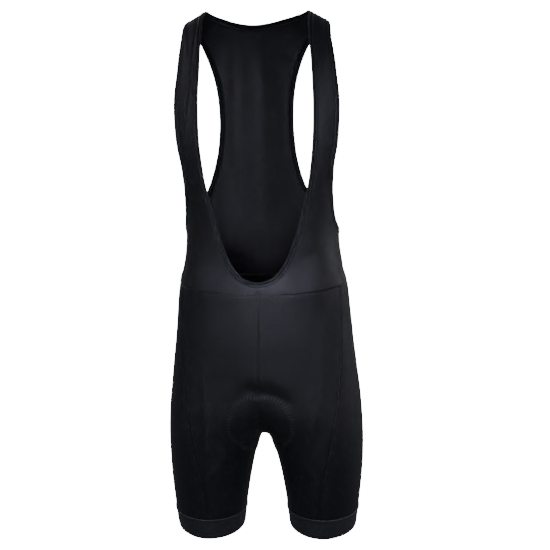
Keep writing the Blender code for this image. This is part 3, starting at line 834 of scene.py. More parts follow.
def way_inside_pad(grid, rows, outline):
    """Distance of each point of a panel from the pad's edge, positive on the pad."""
    _, widths = pad_side(grid, rows)
    apart = [[np.linalg.norm(outline - point, axis=1).min() for point in row] for row in grid]
    along = np.array([lengths_along(row) for row in grid])
    return np.where(along < widths[:, None], 1, -1) * np.array(apart)


def pad_height(grid, rows, outline):
    """How far the pad lifts a panel's cloth, less the groove above its front edge."""
    inside = way_inside_pad(grid, rows, outline)
    belly = ease((grid[..., 2] - CROTCH_LEVEL - GROOVE_START) / GROOVE_FADE)
    groove = PAD_GROOVE * belly * np.exp(-((inside + GROOVE_FROM_RIM) / GROOVE_WIDTH) ** 2)
    return PAD_RISE * ease((inside + PAD_RIM / 4) / PAD_RIM) - groove


print("the pad lifts the cloth", PAD_RISE * 1000, "mm, and the groove above it is", PAD_GROOVE * 1000, "deep")

# %% [markdown]
# ## From nets of points to cloth
# A net needs its outward directions, to be folded and thickened along, and extra rows close to its
# seams, where the cloth turns down into the stitching.

# %% Nets of cloth
EDGE_STEPS = (0.0008, 0.0022, 0.0042)     # ways in from the seam, where each extra row lies
AXIS_SHARE = 0.8          # a piece's own axis, as a share of its mean distance from the middle


def net_normals(net, closed=False):
    """Outward directions at the points of a net, which lies round the middle of the form."""
    down = np.gradient(net, axis=0)
    if closed:
        across = np.roll(net, -1, axis=1) - np.roll(net, 1, axis=1)
    else:
        across = np.gradient(net, axis=1)
    found = np.cross(down, across)
    found /= np.maximum(np.linalg.norm(found, axis=-1, keepdims=True), 1e-12)
    inside = np.zeros_like(net)
    inside[..., 0] = AXIS_SHARE * net[..., 0].mean()
    inside[..., 2] = np.minimum(net[..., 2], CHEST_LEVEL)
    return found * np.sign(np.sum(found * (net - inside)))


def closer_rows(net):
    """The net with extra rows close to its first and last row."""
    steps = np.array(EDGE_STEPS)
    columns = []
    for column in np.moveaxis(net, 1, 0):
        along = lengths_along(column)
        inner = along[1:-1] / along[-1]
        between = steps[-1] + (along[-1] - 2 * steps[-1]) * inner
        places = np.concatenate([[0.0], steps, between, along[-1] - steps[::-1], along[-1:]])
        columns.append(points_at(column, places))
    return np.moveaxis(np.array(columns), 0, 1)


def closer_edges(net):
    """The net with extra rows and columns close to its four edges."""
    return np.moveaxis(closer_rows(np.moveaxis(closer_rows(net), 0, 1)), 0, 1)


print("extra rows along each seam at", [round(step * 1000, 1) for step in EDGE_STEPS], "mm")

# %% [markdown]
# The formula of the rings bends where the rise starts and ends. Stretched cloth bridges such bends,
# so each is rounded, by letting every point move towards the middle of its neighbours.

# %% Round the bends
BENDS = (CROTCH_LEVEL, CROTCH_LEVEL + FRONT_RISE, CROTCH_LEVEL + BACK_RISE)
BEND_REACH = 0.035        # height over which each bend of the form is rounded
BEND_COLUMNS = 5          # the rounding is full this far out: one part in so many of the panel
BEND_ROUNDS = 150


def eased(net, inner_edge=0.0):
    """The net with the bends where the rise starts and ends rounded, less so at its inner edge."""
    rounded = net.copy()
    share = ease(np.linspace(inner_edge, 1.0, net.shape[1]) * BEND_COLUMNS)
    for _ in range(BEND_ROUNDS):
        heights = rounded[1:-1, :, 2]
        near = np.max([np.exp(-((heights - bend) / BEND_REACH) ** 2) for bend in BENDS], axis=0)
        between = (rounded[:-2] + rounded[2:]) / 2 - rounded[1:-1]
        rounded[1:-1] += between * (near * share)[..., None] / 2
    return rounded


print("bends of the form at", [round(bend, 3) for bend in BENDS], "m")

# %% [markdown]
# ## Measuring the cloth
# The texture map of a piece is in metres along the knit's rows and columns, so that the patterns in
# the materials have one true scale on every piece. The same lengths give the flat size that a panel
# is cut to. Unwrapping the mesh would stretch the pattern a little differently on each piece.


def cloth_map(net):
    """Place of each point on the knit, in metres: across it, and along its columns."""
    across = np.array([lengths_along(row) for row in net])
    middle = net.shape[1] // 2
    along = np.repeat(lengths_along(net[:, middle])[:, None], net.shape[1], axis=1)
    return np.stack([across - across[:, middle:middle + 1], along], axis=-1)


def way_from_edge(net):
    """Distance of each point of a panel from the nearest of its four edges."""
    across = np.array([lengths_along(row) for row in net])
    along = np.array([lengths_along(column) for column in np.moveaxis(net, 1, 0)]).T
    return np.minimum.reduce([across, across[:, -1:] - across, along, along[-1:] - along])


def net_area(net):
    """Area of a net of points."""
    one = np.cross(net[1:, :-1] - net[:-1, :-1], net[:-1, 1:] - net[:-1, :-1])
    other = np.cross(net[:-1, 1:] - net[1:, 1:], net[1:, :-1] - net[1:, 1:])
    return float((np.linalg.norm(one, axis=-1) + np.linalg.norm(other, axis=-1)).sum() / 2)


square = np.array([[(0.00, 0.00, 0.0), (0.01, 0.00, 0.0)], [(0.00, 0.01, 0.0), (0.01, 0.01, 0.0)]])
print("a square net of 10 mm measures", round(net_area(square) * 1e6), "square mm")

# %% [markdown]
# ## Walls
# Every piece of cloth is a closed wall: an outer net, an inner net and a narrow edge between them. A
# Solidify modifier would do nearly the same. Here both nets are moved from one middle net by given
# directions, so that neighbouring pieces keep their edges together.

# %% Walls of cloth
SHARP_ANGLE = math.radians(70)        # sharper edges are the cut edges of the cloth


def net_faces(rows, columns, closed=False):
    """Corner numbers of the four-sided faces of a net."""
    last = columns if closed else columns - 1
    numbers = np.arange(rows * columns).reshape(rows, columns)
    beside = np.roll(numbers, -1, axis=1)
    corners = [numbers[:-1, :last], numbers[1:, :last], beside[1:, :last], beside[:-1, :last]]
    return np.stack(corners, axis=-1).reshape(-1, 4)


def cloth_mesh(name, points, faces, places=None):
    """Mesh of points and four-sided faces, smooth but for its cut edges, with its cloth map."""
    mesh = bpy.data.meshes.new(name)
    mesh.from_pydata(points.tolist(), [], faces.tolist())
    if places is not None:
        flat = places.reshape(-1, 2)
        flat = np.concatenate([flat] * (len(points) // len(flat)))
        corner_points = np.empty(len(mesh.loops), dtype=np.int32)
        mesh.loops.foreach_get("vertex_index", corner_points)
        layer = mesh.uv_layers.new(name=CLOTH_MAP)
        layer.data.foreach_set("uv", flat[corner_points].astype(np.float32).ravel())
    mesh.shade_smooth()
    mesh.set_sharp_from_angle(angle=SHARP_ANGLE)
    mesh.validate()
    return mesh


def wall_mesh(name, middle, normals, thickness, closed=False, places=None):
    """Closed wall of cloth round a middle net."""
    rows, columns = middle.shape[:2]
    outer = (middle + normals * thickness / 2).reshape(-1, 3)
    inner = (middle - normals * thickness / 2).reshape(-1, 3)
    count = len(outer)
    front = net_faces(rows, columns, closed)
    a, b, c = outer[front[:, 0]], outer[front[:, 1]], outer[front[:, 2]]
    outward = normals.reshape(-1, 3)[front[:, 0]]
    if np.sum(np.cross(b - a, c - a) * outward) < 0:
        front = front[:, ::-1]
    faces = [front, front[:, ::-1] + count]
    edges = np.concatenate([front[:, [i, (i + 1) % 4]] for i in range(4)])
    both = edges[:, 0] * count + edges[:, 1]
    back = edges[:, 1] * count + edges[:, 0]
    open_edges = edges[~np.isin(both, back)]
    start, end = open_edges.T
    faces.append(np.stack([end, start, start + count, end + count], axis=-1))
    return cloth_mesh(name, np.concatenate([outer, inner]), np.concatenate(faces), places)


print("a net of 3 rows and 4 columns has", len(net_faces(3, 4)), "faces")

# %% [markdown]
# Each piece is an object of its own, with its cloth, and rides the garment's one body. The pieces of
# the plain garment that it stands for are named with it.

# %% Pieces
def add_piece(name, mesh, finish, slot, *nodes):
    """Object of one sewn piece; it takes the place of the plain nodes that it names."""
    piece = bpy.data.objects.new(name, mesh)
    bpy.context.scene.collection.objects.link(piece)
    piece.data.materials.append(finish)
    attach(piece, "root")
    if nodes:
        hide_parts(*nodes)
    return piece


# %% [markdown]
# ## Worn panels
# Flat seams press the cloth down along their stitches and pucker it a little beside them. Over the
# pad the centre seams lie flatter, because the foam backs them.

# %% Worn panels
SEAM_DIP = 0.0010
SEAM_DIP_WIDTH = 0.0009
FLAT_JUNCTION = 0.009     # the dip fades where the waist seam meets the centre seams
PAD_SEAM_LEVEL = -0.600   # the centre seams lie flatter below it
PAD_SEAM_FALL = 0.030     # height over which they get so
PAD_SEAM_WIDTH = 0.015
PAD_SEAM_FADE = 0.7       # share of the dip that the pad takes away
PUCKER_SIZE = 0.0075
PUCKER_HEIGHT = 0.00018
PUCKER_WIDTH = 0.0060


def worn_panel(half, side, lift=0.0):
    """A left panel's net, put on its side, posed and folded: middle net and normals."""
    net = posed(half * (side, 1, 1))
    normals = net_normals(net)
    from_edge = way_from_edge(net)
    from_junction = np.hypot(net[..., 0], net[..., 2] - WAIST_LEVEL)
    dip = SEAM_DIP * np.exp(-(from_edge / SEAM_DIP_WIDTH) ** 2)
    dip = dip * (1 - np.exp(-(from_junction / FLAT_JUNCTION) ** 2))
    backed = np.exp(-(net[..., 0] / PAD_SEAM_WIDTH) ** 2)
    backed = backed * ease((PAD_SEAM_LEVEL - net[..., 2]) / PAD_SEAM_FALL)
    dip = dip * (1 - PAD_SEAM_FADE * backed)
    pucker = lumps(net, PUCKER_SIZE, PUCKER_HEIGHT) * np.exp(-from_edge / PUCKER_WIDTH)
    height = cloth_height(net, normals) + lift - dip + pucker
    net = net + normals * height[..., None]
    return net, net_normals(net)


flat_dip = SEAM_DIP * (1 - PAD_SEAM_FADE)
print(f"a seam dips {SEAM_DIP * 1000:.1f} mm, and {flat_dip * 1000:.1f} mm over the pad")

# %% [markdown]
# ## Colours and nodes
# Every cloth here is nylon or polyester knit with elastane, dyed in the piece, so the black is cool
# and deep. Colours are given as on a dyer's card, in sRGB, and one function turns them to the
# renderer's linear values. One more adds a node with its settings and links.

# %% Colours and nodes
KNEE, SLOPE, OFFSET, POWER = 0.04045, 12.92, 0.055, 2.4     # the sRGB curve


def linear(hex_colour):
    """Scene colour of an sRGB hex colour."""
    parts = [int(hex_colour[i:i + 2], 16) / 255 for i in (1, 3, 5)]
    bright = [((part + OFFSET) / (1 + OFFSET)) ** POWER for part in parts]
    return [part / SLOPE if part <= KNEE else light for part, light in zip(parts, bright)] + [1.0]


def add_node(tree, kind, *links, **inputs):
    """Adds a node; links are (input name, output socket), the rest are values by input name."""
    node = tree.nodes.new(kind)
    for name, value in inputs.items():
        if hasattr(node, name):
            setattr(node, name, value)
        else:
            node.inputs[name.replace("_", " ")].default_value = value
    for name, output in links:
        tree.links.new(output, node.inputs[name])
    return node


def start_material(name):
    """New material with its shader and an empty tree beside it."""
    finish = bpy.data.materials.new(name)
    finish.use_nodes = True
    tree = finish.node_tree
    shader = tree.nodes["Principled BSDF"]
    return finish, tree, shader


def cloth_place(tree, scale):
    """The cloth map, stretched by a scale across and along."""
    place = add_node(tree, "ShaderNodeUVMap", uv_map=CLOTH_MAP)
    mapping = add_node(tree, "ShaderNodeMapping", ("Vector", place.outputs["UV"]))
    mapping.inputs["Scale"].default_value = (*scale, 1.0)
    return mapping.outputs["Vector"]


print("a mid grey of sRGB is", round(linear("#808080")[0], 3), "of the light")

# %% [markdown]
# ## Knit
# Knit shows fine vertical columns of loops, faint streaks from the yarn, and a soft sheen from the
# filaments. A picture of cloth could be tiled over it. Wave and noise textures need no picture, keep
# one pitch on every piece, and never repeat. Real columns stand about half a millimetre apart, and
# yarns are a tenth of a millimetre thick. Both are too fine to show from a few steps away, so the
# columns are drawn about twice as coarse and the yarns' grain more than ten times.

# %% Knit
KNIT_IOR = 1.53           # nylon and polyester
ONE_BAND = math.pi / 10   # scale at which a wave texture has one band in each unit
LOOP_ROWS = 1.3           # rows of loops to each column of loops, over the same length
STREAKS = (420.0, 14.0)   # in a metre across and along: 2.4 mm wide and 71 mm long
GRAINS = (700.0, 500.0)   # in a metre: 1.4 x 2.0 mm
GRAIN = 4.0               # depth of that grain, against that of the loops
MOTTLE = 24.0             # clouds of the dye in a metre
FADED, FULL = 0.5, 1.5    # sums of streak and cloud that give the darker and the lighter colour
SHINE_TINT = "#e4e1ff"    # light that the filaments throw back is cool
SHEEN_TINT = "#d4d3f4"
SHEEN_ROUGHNESS = 0.45


def knit(name, dark, light, wale, roughness, sheen, bump, shine=0.30):
    """Piece-dyed knit: columns of loops a wale apart, and streaks along them."""
    finish, tree, shader = start_material(name)
    loops_place = cloth_place(tree, (1 / wale, 1 / wale))
    loops = add_node(
        tree, "ShaderNodeTexWave", ("Vector", loops_place), wave_type="BANDS", bands_direction="X",
        Scale=ONE_BAND, Distortion=0.6, Detail=1.0,
    )
    rows = add_node(
        tree, "ShaderNodeTexWave", ("Vector", loops_place), wave_type="BANDS", bands_direction="Y",
        Scale=LOOP_ROWS * ONE_BAND, Distortion=1.0, Detail=1.0,
    )
    streaks = add_node(
        tree, "ShaderNodeTexNoise", ("Vector", cloth_place(tree, STREAKS)), Scale=1.0, Detail=3.0,
    )
    place = add_node(tree, "ShaderNodeTexCoord")
    mottle = add_node(
        tree, "ShaderNodeTexNoise", ("Vector", place.outputs["Object"]), Scale=MOTTLE, Detail=4.0,
    )
    blend = add_node(
        tree, "ShaderNodeMath", (0, streaks.outputs["Fac"]), (1, mottle.outputs["Fac"]), operation="ADD",
    )
    spread = add_node(tree, "ShaderNodeMapRange", ("Value", blend.outputs[0]))
    spread.inputs["From Min"].default_value = FADED
    spread.inputs["From Max"].default_value = FULL
    tone = add_node(tree, "ShaderNodeMix", data_type="RGBA")
    tree.links.new(spread.outputs["Result"], tone.inputs["Factor"])
    darker, lighter = [socket for socket in tone.inputs if socket.type == "RGBA"]
    darker.default_value = linear(dark)
    lighter.default_value = linear(light)
    toned = [socket for socket in tone.outputs if socket.type == "RGBA"][0]
    tree.links.new(toned, shader.inputs["Base Color"])
    ribs = add_node(
        tree, "ShaderNodeMath", (0, loops.outputs["Fac"]), (1, rows.outputs["Fac"]), operation="ADD",
    )
    grain = add_node(
        tree, "ShaderNodeTexNoise", ("Vector", cloth_place(tree, GRAINS)), Scale=1.0, Detail=2.0,
    )
    height = add_node(
        tree, "ShaderNodeMath", (0, grain.outputs["Fac"]), (2, ribs.outputs[0]), operation="MULTIPLY_ADD",
    )
    height.inputs[1].default_value = GRAIN
    relief = add_node(tree, "ShaderNodeBump", ("Height", height.outputs[0]), Strength=1.0, Distance=bump)
    tree.links.new(relief.outputs["Normal"], shader.inputs["Normal"])
    shader.inputs["Roughness"].default_value = roughness
    shader.inputs["IOR"].default_value = KNIT_IOR
    shader.inputs["Specular IOR Level"].default_value = shine
    shader.inputs["Specular Tint"].default_value = linear(SHINE_TINT)
    shader.inputs["Sheen Weight"].default_value = sheen
    shader.inputs["Sheen Roughness"].default_value = SHEEN_ROUGHNESS
    shader.inputs["Sheen Tint"].default_value = linear(SHEEN_TINT)
    return finish


print("pitch of the streaks:", [round(1000 / streak, 1) for streak in STREAKS], "mm")

# %% [markdown]
# The elastic of the bindings is plush on the side that lies on the skin. That side shows at the far
# edge, past a certain place round the folded section, where it is matt, and darker partly as painted shade.

# %% Plush inside, with painted shade
PLUSH_SHINE = 0.12


def plush_inside_with_painted_shade(finish, start, colour):
    """Turns the far side of a folded elastic, past a place round its section, matt and darker; the darkening
    is partly painted shade.
    """
    tree = finish.node_tree
    shader = tree.nodes["Principled BSDF"]
    place = add_node(tree, "ShaderNodeSeparateXYZ", ("Vector", cloth_place(tree, (1.0, 1.0))))
    inside = add_node(tree, "ShaderNodeMath", (0, place.outputs["Y"]), operation="GREATER_THAN")
    inside.inputs[1].default_value = start
    # the far side's darker colour stands partly for painted shade of the binding's inside
    tone = add_node(tree, "ShaderNodeMix", data_type="RGBA")
    tree.links.new(inside.outputs[0], tone.inputs["Factor"])
    first, second = [socket for socket in tone.inputs if socket.type == "RGBA"]
    tree.links.new(shader.inputs["Base Color"].links[0].from_socket, first)
    second.default_value = linear(colour)
    toned = [socket for socket in tone.outputs if socket.type == "RGBA"][0]
    tree.links.new(toned, shader.inputs["Base Color"])
    matt = add_node(tree, "ShaderNodeMapRange", ("Value", inside.outputs[0]))
    matt.inputs["To Min"].default_value = shader.inputs["Specular IOR Level"].default_value
    matt.inputs["To Max"].default_value = PLUSH_SHINE
    tree.links.new(matt.outputs["Result"], shader.inputs["Specular IOR Level"])


print("specular level of the plush side:", PLUSH_SHINE)

# %% [markdown]
# Thread is spun polyester, which takes the dye a little unevenly from fibre to fibre and has next to
# no shine.

# %% Thread
FIBRES = 900.0            # changes of tone in a metre, two or three to each stitch
FIBRE_DARK = 0.7          # the darkest fibres, as a share of the thread's colour
THREAD_ROUGHNESS = 0.85
THREAD_SHINE = 0.1


def thread(name, colour):
    """Spun polyester thread, a little uneven in its dye."""
    finish, tree, shader = start_material(name)
    place = add_node(tree, "ShaderNodeTexCoord")
    fibres = add_node(
        tree, "ShaderNodeTexNoise", ("Vector", place.outputs["Object"]), Scale=FIBRES, Detail=2.0,
    )
    shade = add_node(tree, "ShaderNodeValToRGB", ("Fac", fibres.outputs["Fac"]))
    shade.color_ramp.elements[0].color = [FIBRE_DARK * part for part in linear(colour)[:3]] + [1.0]
    shade.color_ramp.elements[1].color = linear(colour)
    tree.links.new(shade.outputs["Color"], shader.inputs["Base Color"])
    shader.inputs["Roughness"].default_value = THREAD_ROUGHNESS
    shader.inputs["IOR"].default_value = KNIT_IOR
    shader.inputs["Specular IOR Level"].default_value = THREAD_SHINE
    return finish


print("the fibres' tone changes each", round(1000 / FIBRES, 1), "mm")

# %% [markdown]
# ## The cloths and threads of this garment
# The bib is a light circular knit, the smoothest of all. The shorts are a denser warp knit that
# supports the muscles. The gripper elastic of the leg bands is greyer, with coarse ribs. The folded
# elastic of the bindings has fine ribs along its length. The pad is faced with a brushed knit that
# has a soft nap and no shine.

# %% Cloths and threads
# past this way round the section the binding turns matt and darker, partly as painted shade
PLUSH_AND_SHADE_FROM = 0.0110       # way round the binding's section at which its plush side begins
# light and stretched, so its filaments lie flat and give the clearest sheen
bib_knit = knit("Circular knit nylon", "#16171a", "#1c1d21", 0.0011, 0.43, 0.03, bump=0.00005, shine=0.33)
# denser and a little deeper in colour
shorts_knit = knit("Warp knit nylon", "#131417", "#191a1e", 0.0008, 0.48, 0.03, bump=0.00005)
# rubber between its yarns makes it greyer and duller
band_knit = knit("Knitted gripper elastic", "#24252a", "#2d2e34", 0.0013, 0.52, 0.05, bump=0.00010)
# smooth outside, plush inside, its inside darker partly as painted shade
binding_knit = knit("Folded plush elastic", "#191a1e", "#222328", 0.0010, 0.48, 0.05, bump=0.00004)
plush_inside_with_painted_shade(binding_knit, PLUSH_AND_SHADE_FROM, "#15161a")
# the brushed nap scatters the light and softens the edges of shadows
pad_fleece = knit("Brushed polyester knit", "#101115", "#1c1e23", 0.0016, 0.80, 0.15, bump=0.0003)
# seam thread vanishes in the cloth; the pad's thread is greyer and stands out, and the bands' grey thread is
# a painted highlight along their upper edge
seam_thread = thread("Black spun polyester", "#0c0d0f")
band_highlight_thread = thread("Grey thread as painted highlight", "#74767f")
pad_thread = thread("Dark grey spun polyester", "#494b52")
print("materials:", ", ".join(material.name for material in bpy.data.materials))

# %% [markdown]
# ## Bib panels
# Two fronts with their straps and one back, cut from a light knit with its columns running up the
# body. Each is laid on the form as a net, given its folds, and made a wall 1.2 mm thick.

# %% Cut the bib
def whole(half):
    """A grid whose first column lies on the middle plane, joined to its mirror image."""
    return np.concatenate([half[:, :0:-1] * (-1, 1, 1), half], axis=1)


def with_corner(net, row, corner):
    """The net with the nearest point of one row put on a corner of the cut."""
    nearest = np.argmin(np.linalg.norm(net[row] - corner, axis=1))
    net[row, nearest] = corner
    return net


def cut_bib_front():
    """Net of the left front panel, fine near its seams."""
    return with_corner(closer_edges(front_of_bib), 0, waist_seam(-1)[0])


def cut_bib_back():
    """Net of the whole back panel, fine near its seams."""
    net = closer_edges(whole(back_of_bib))
    shoulder = part_at_shoulder(neck_seam())[1][-1]
    for side in (LEFT, RIGHT):
        net = with_corner(net, -1, shoulder * (side, 1, 1))
    return net


bib_front = cut_bib_front()
bib_back = cut_bib_back()
print("cut nets of the bib:", bib_front.shape[:2], bib_back.shape[:2])

# %% [markdown]
# Sewing a panel puts it on its side of the body, in its pose and with its folds.

# %% Sew the bib panels
panels = {}               # worn middle net and normals of each piece, for what is sewn on it


def sew_panel(node, half, side, finish, slot, lift=0.0):
    """One panel, sewn and posed, as a piece of cloth."""
    net, normals = worn_panel(half, side, lift)
    panels[node] = net, normals
    title = node + "_cloth"
    mesh = wall_mesh(title, net, normals, CLOTH, places=cloth_map(net))
    piece = add_piece(title, mesh, finish, slot, node)
    return piece


for side, label in LABELS.items():
    sew_panel(f"bib_front_{label}", bib_front, side, bib_knit, "bib_knit")
sew_panel("bib_back", bib_back, LEFT, bib_knit, "bib_knit")

# %% [markdown]
# ## Shorts panels
# Front, side and back panels of each leg, from a denser knit that grips the thigh. The front and
# back ones take the pad's rise.

# %% Sew the shorts panels
fronts = eased(closer_edges(shorts_grid(-1)))
backs = eased(closer_edges(shorts_grid(1)))
front_lift = pad_height(fronts, PAD_FRONT, pad_edge)
back_lift = pad_height(backs, PAD_BACK, pad_edge)
sides = eased(closer_edges(shorts_side_grid()), inner_edge=1.0)
for side, label in LABELS.items():
    sew_panel(f"shorts_front_{label}", fronts, side, shorts_knit, "shorts_knit", front_lift)
    sew_panel(f"shorts_side_{label}", sides, side, shorts_knit, "shorts_knit")
    sew_panel(f"shorts_back_{label}", backs, side, shorts_knit, "shorts_knit", back_lift)

# %% [markdown]
# ## Leg bands
# A wide gripper elastic is knitted as a band, joined in a ring and sewn to the leg's end. Its cut
# upper edge is turned in against the leg, and the fold stands up a little over the seam. The hem
# rolls in and sags somewhat in front.

# %% Sew the leg bands
BAND_CLOTH = 0.0016
BAND_LIP = 0.0014         # how far the band's upper edge stands up
BAND_LIP_AT = 0.0012
BAND_LIP_WIDTH = 0.0018
BAND_TUCK = 0.0024        # its cut edge is turned in against the leg
BAND_TUCK_WIDTH = 0.0006
BAND_ROLL = 0.0007        # how far the hem turns in
BAND_ROLL_WIDTH = 0.0020
BAND_DROP = 0.0032        # how far the worn hem sags in front
BAND_SAG = 1.5            # power by which the sag gathers towards the hem and the front


def band_height(net):
    """Height of the band over the form: its raised upper edge and its turned-in hem."""
    from_top = np.array([lengths_along(column) for column in np.moveaxis(net, 1, 0)]).T
    from_hem = from_top[-1:] - from_top
    lip = BAND_LIP * np.exp(-((from_top - BAND_LIP_AT) / BAND_LIP_WIDTH) ** 2)
    lip = lip - BAND_TUCK * np.exp(-(from_top / BAND_TUCK_WIDTH) ** 2)
    roll = BAND_ROLL * np.exp(-(from_hem / BAND_ROLL_WIDTH) ** 2)
    return lip - roll


def sew_leg_band(side, label):
    """One leg band, posed and folded, as a closed ring of wall."""
    net = posed(closer_rows(leg_band_grid()) * (side, 1, 1))
    normals = net_normals(net, closed=True)
    down = np.linspace(0.0, 1.0, len(net))[:, None] ** BAND_SAG
    net[..., 2] -= BAND_DROP * down * np.clip(-normals[..., 1], 0.0, 1.0) ** BAND_SAG
    pucker = lumps(net, PUCKER_SIZE, PUCKER_HEIGHT / 2)
    height = cloth_height(net, normals) + band_height(net) + pucker
    net = net + normals * height[..., None]
    normals = net_normals(net, closed=True)
    node = f"leg_band_{label}"
    panels[node] = net, normals
    rings = np.concatenate([net, net[:, :1]], axis=1)
    places = cloth_map(rings)[:, :-1]
    mesh = wall_mesh(f"{node}_cloth", net, normals, BAND_CLOTH, closed=True, places=places)
    piece = add_piece(f"{node}_cloth", mesh, band_knit, "leg_band_elastic", node)
    return piece


for side, label in LABELS.items():
    sew_leg_band(side, label)

# %% [markdown]
# ## Bindings
# A strip of elastic is folded over the raw edge of the neck and of each armhole and sewn through
# down its middle, which leaves a soft ridge on each side of the stitches. A curve with a bevel
# object could carry a section like this one along the edge, but it would turn it freely. Here each
# point of the section is its own line on the cloth, so the strip lies flat all the way.

# %% Section of a binding
# Way in from the folded edge, and rise over the cloth: over the top, and back along the inside
SectionPoint = namedtuple("SectionPoint", "inward rise")
BINDING_SECTION = (
    SectionPoint(0.0000, 0.0000),
    SectionPoint(0.0002, 0.0007),
    SectionPoint(0.0009, 0.0012),
    SectionPoint(0.0018, 0.0016),
    SectionPoint(0.0027, 0.0012),
    SectionPoint(0.0035, 0.0006),
    SectionPoint(0.0040, 0.0001),
    SectionPoint(0.0045, 0.0006),
    SectionPoint(0.0053, 0.0012),
    SectionPoint(0.0062, 0.0016),
    SectionPoint(0.0072, 0.0012),
    SectionPoint(0.0082, 0.0010),
    SectionPoint(0.0092, 0.0006),
    SectionPoint(0.0096, 0.0003),
    SectionPoint(0.0090, 0.0001),
    SectionPoint(0.0083, -0.0002),
    SectionPoint(0.0070, -0.0008),
    SectionPoint(0.0040, -0.0009),
    SectionPoint(0.0012, -0.0009),
    SectionPoint(0.0003, -0.0006),
)
BINDING_GROOVE = 0.0040   # the row of stitches, between the two ridges
ASLANT = (0.3, 0.5, 0.8)  # a direction that isn't any normal of the bib


def posed_normals(points, normals):
    """Outward directions after the pose, from those before it."""
    step = 1e-4
    one = np.cross(normals, ASLANT)
    one /= np.linalg.norm(one, axis=-1, keepdims=True)
    other = np.cross(normals, one)
    here = posed(points)
    turned = np.cross(posed(points + one * step) - here, posed(points + other * step) - here)
    return turned / np.linalg.norm(turned, axis=-1, keepdims=True)


def worn_strip(edge, inward, turned, side):
    """A line along a binding, posed and folded with the cloth: points and normals."""
    line = edge_inside(edge, inward, turned)
    normals = bib_normals(line) * (side, 1, 1)
    line = line * (side, 1, 1)
    normals = posed_normals(line, normals)
    line = posed(line)
    return line + normals * cloth_height(line, normals)[:, None], normals


print(len(BINDING_SECTION), "lines round each binding, its stitches", BINDING_GROOVE * 1000, "mm in")

# %% [markdown]
# The strips are joined to a closed tube that runs in a ring round its opening.

# %% Sew the bindings
def sew_binding(node, edge, turned, side):
    """One binding: its section carried round a closed edge."""
    strips = []
    for point in BINDING_SECTION:
        line, normals = worn_strip(edge, point.inward, turned, side)
        strips.append(line + normals * point.rise)
    net = np.array(strips)
    columns = net.shape[1]
    loop = np.concatenate([net, net[:1]])
    faces = net_faces(len(loop), columns, closed=True) % (len(net) * columns)
    if (turned == 1) == (side == LEFT):
        faces = faces[:, ::-1]
    round_section = np.array([lengths_along(column) for column in np.moveaxis(net, 1, 0)]).T
    along = np.repeat(lengths_along(net[0])[None], len(net), axis=0)
    title = node + "_cloth"
    mesh = cloth_mesh(title, net.reshape(-1, 3), faces, np.stack([along, round_section], axis=-1))
    piece = add_piece(title, mesh, binding_knit, "binding_elastic", node)
    return piece


sew_binding("neck_binding", neck_edge, 1, LEFT)
for side, label in LABELS.items():
    sew_binding(f"armhole_binding_{label}", arm_edge, -1, side)

# %% [markdown]
# ## Seat pad
# The pad is moulded foam under a brushed knit, thickest under the sit bones, with two channels that
# let it bend. It lies on the inside of the panels and reaches as far as its own zigzag. Its outer
# side is the panels' own net, moved in, so that it follows every curve of the seat.

# %% Quarters of the pad
PAD_THICKNESS = 0.0078
PAD_RIM_SHARE = 0.25      # thickness at the rim as a share of the whole
PAD_CLEARANCE = 0.0003
PAD_COLUMNS = 26
PAD_LEAST_WIDTH = 0.004   # half width at which the pad's ends are cut off
PAD_EDGE_FALL = 0.30      # share of the half width over which the pad thins to its rim
PAD_END_FALL = 1 / 6      # share of each quarter's length over which it thins to its end
CHANNEL_AT = 0.42         # channels, as a share of the half width
CHANNEL_WIDTH = 0.05
CHANNEL_DEPTH = 0.45      # share of the thickness


def pad_quarter(node, cut, rows):
    """Outer and inner nets of the pad's part behind one panel."""
    net, _ = panels[node]
    shares = np.linspace(0.0, 1.0, PAD_COLUMNS)
    bed = []
    for row, cut_row in zip(net, cut):
        width = pad_half_width(rows, cut_row[0, 2] - CROTCH_LEVEL)
        if width > PAD_LEAST_WIDTH:
            bed.append(points_at(row, width * shares))
    bed = np.array(bed)
    normals = net_normals(bed)
    outer = bed - normals * (CLOTH / 2 + PAD_CLEARANCE)
    dome = PAD_RIM_SHARE + (1 - PAD_RIM_SHARE) * ease((1 - shares) / PAD_EDGE_FALL)
    channel = 1 - CHANNEL_DEPTH * np.exp(-((shares - CHANNEL_AT) / CHANNEL_WIDTH) ** 2)
    ends = np.linspace(0.0, 1.0, len(bed))
    taper = PAD_RIM_SHARE + (1 - PAD_RIM_SHARE) * ease(ends / PAD_END_FALL) * ease((1 - ends) / PAD_END_FALL)
    thickness = PAD_THICKNESS * dome * channel * taper[:, None]
    return outer, outer - normals * thickness[..., None]


rim_thickness = PAD_THICKNESS * PAD_RIM_SHARE
print(f"the pad is {PAD_THICKNESS * 1000:.1f} mm thick and {rim_thickness * 1000:.1f} at its rim")

# %% [markdown]
# The four quarters are joined along the centre seams and inseams, where the real pad is one piece.
# Their facing points are merged, and the directions of the faces are worked out anew for the whole.

# %% Sew in the pad
PAD_WELD = 0.0006         # points closer than this are one


def pad_shape(quarters):
    """One closed mesh of the four quarters, joined along the centre seams and inseams."""
    shape = bmesh.new()
    for outer, inner, turned in quarters:
        rows, columns = outer.shape[:2]
        points = [[[shape.verts.new(point) for point in row] for row in net] for net in (outer, inner)]
        for i in range(rows - 1):
            for j in range(columns - 1):
                for net, flip in ((points[0], turned), (points[1], not turned)):
                    corners = [net[i][j], net[i + 1][j], net[i + 1][j + 1], net[i][j + 1]]
                    shape.faces.new(corners[::-1] if flip else corners)
        rim = [(i, columns - 1) for i in range(rows)]
        top = [(0, j) for j in range(columns)]
        bottom = [(rows - 1, j) for j in reversed(range(columns))]
        for path in (top, rim, bottom):
            for (i, j), (k, m) in zip(path, path[1:]):
                corners = [points[0][i][j], points[0][k][m], points[1][k][m], points[1][i][j]]
                shape.faces.new(corners)
    bmesh.ops.remove_doubles(shape, verts=shape.verts[:], dist=PAD_WELD)
    bmesh.ops.recalc_face_normals(shape, faces=shape.faces[:])
    return shape


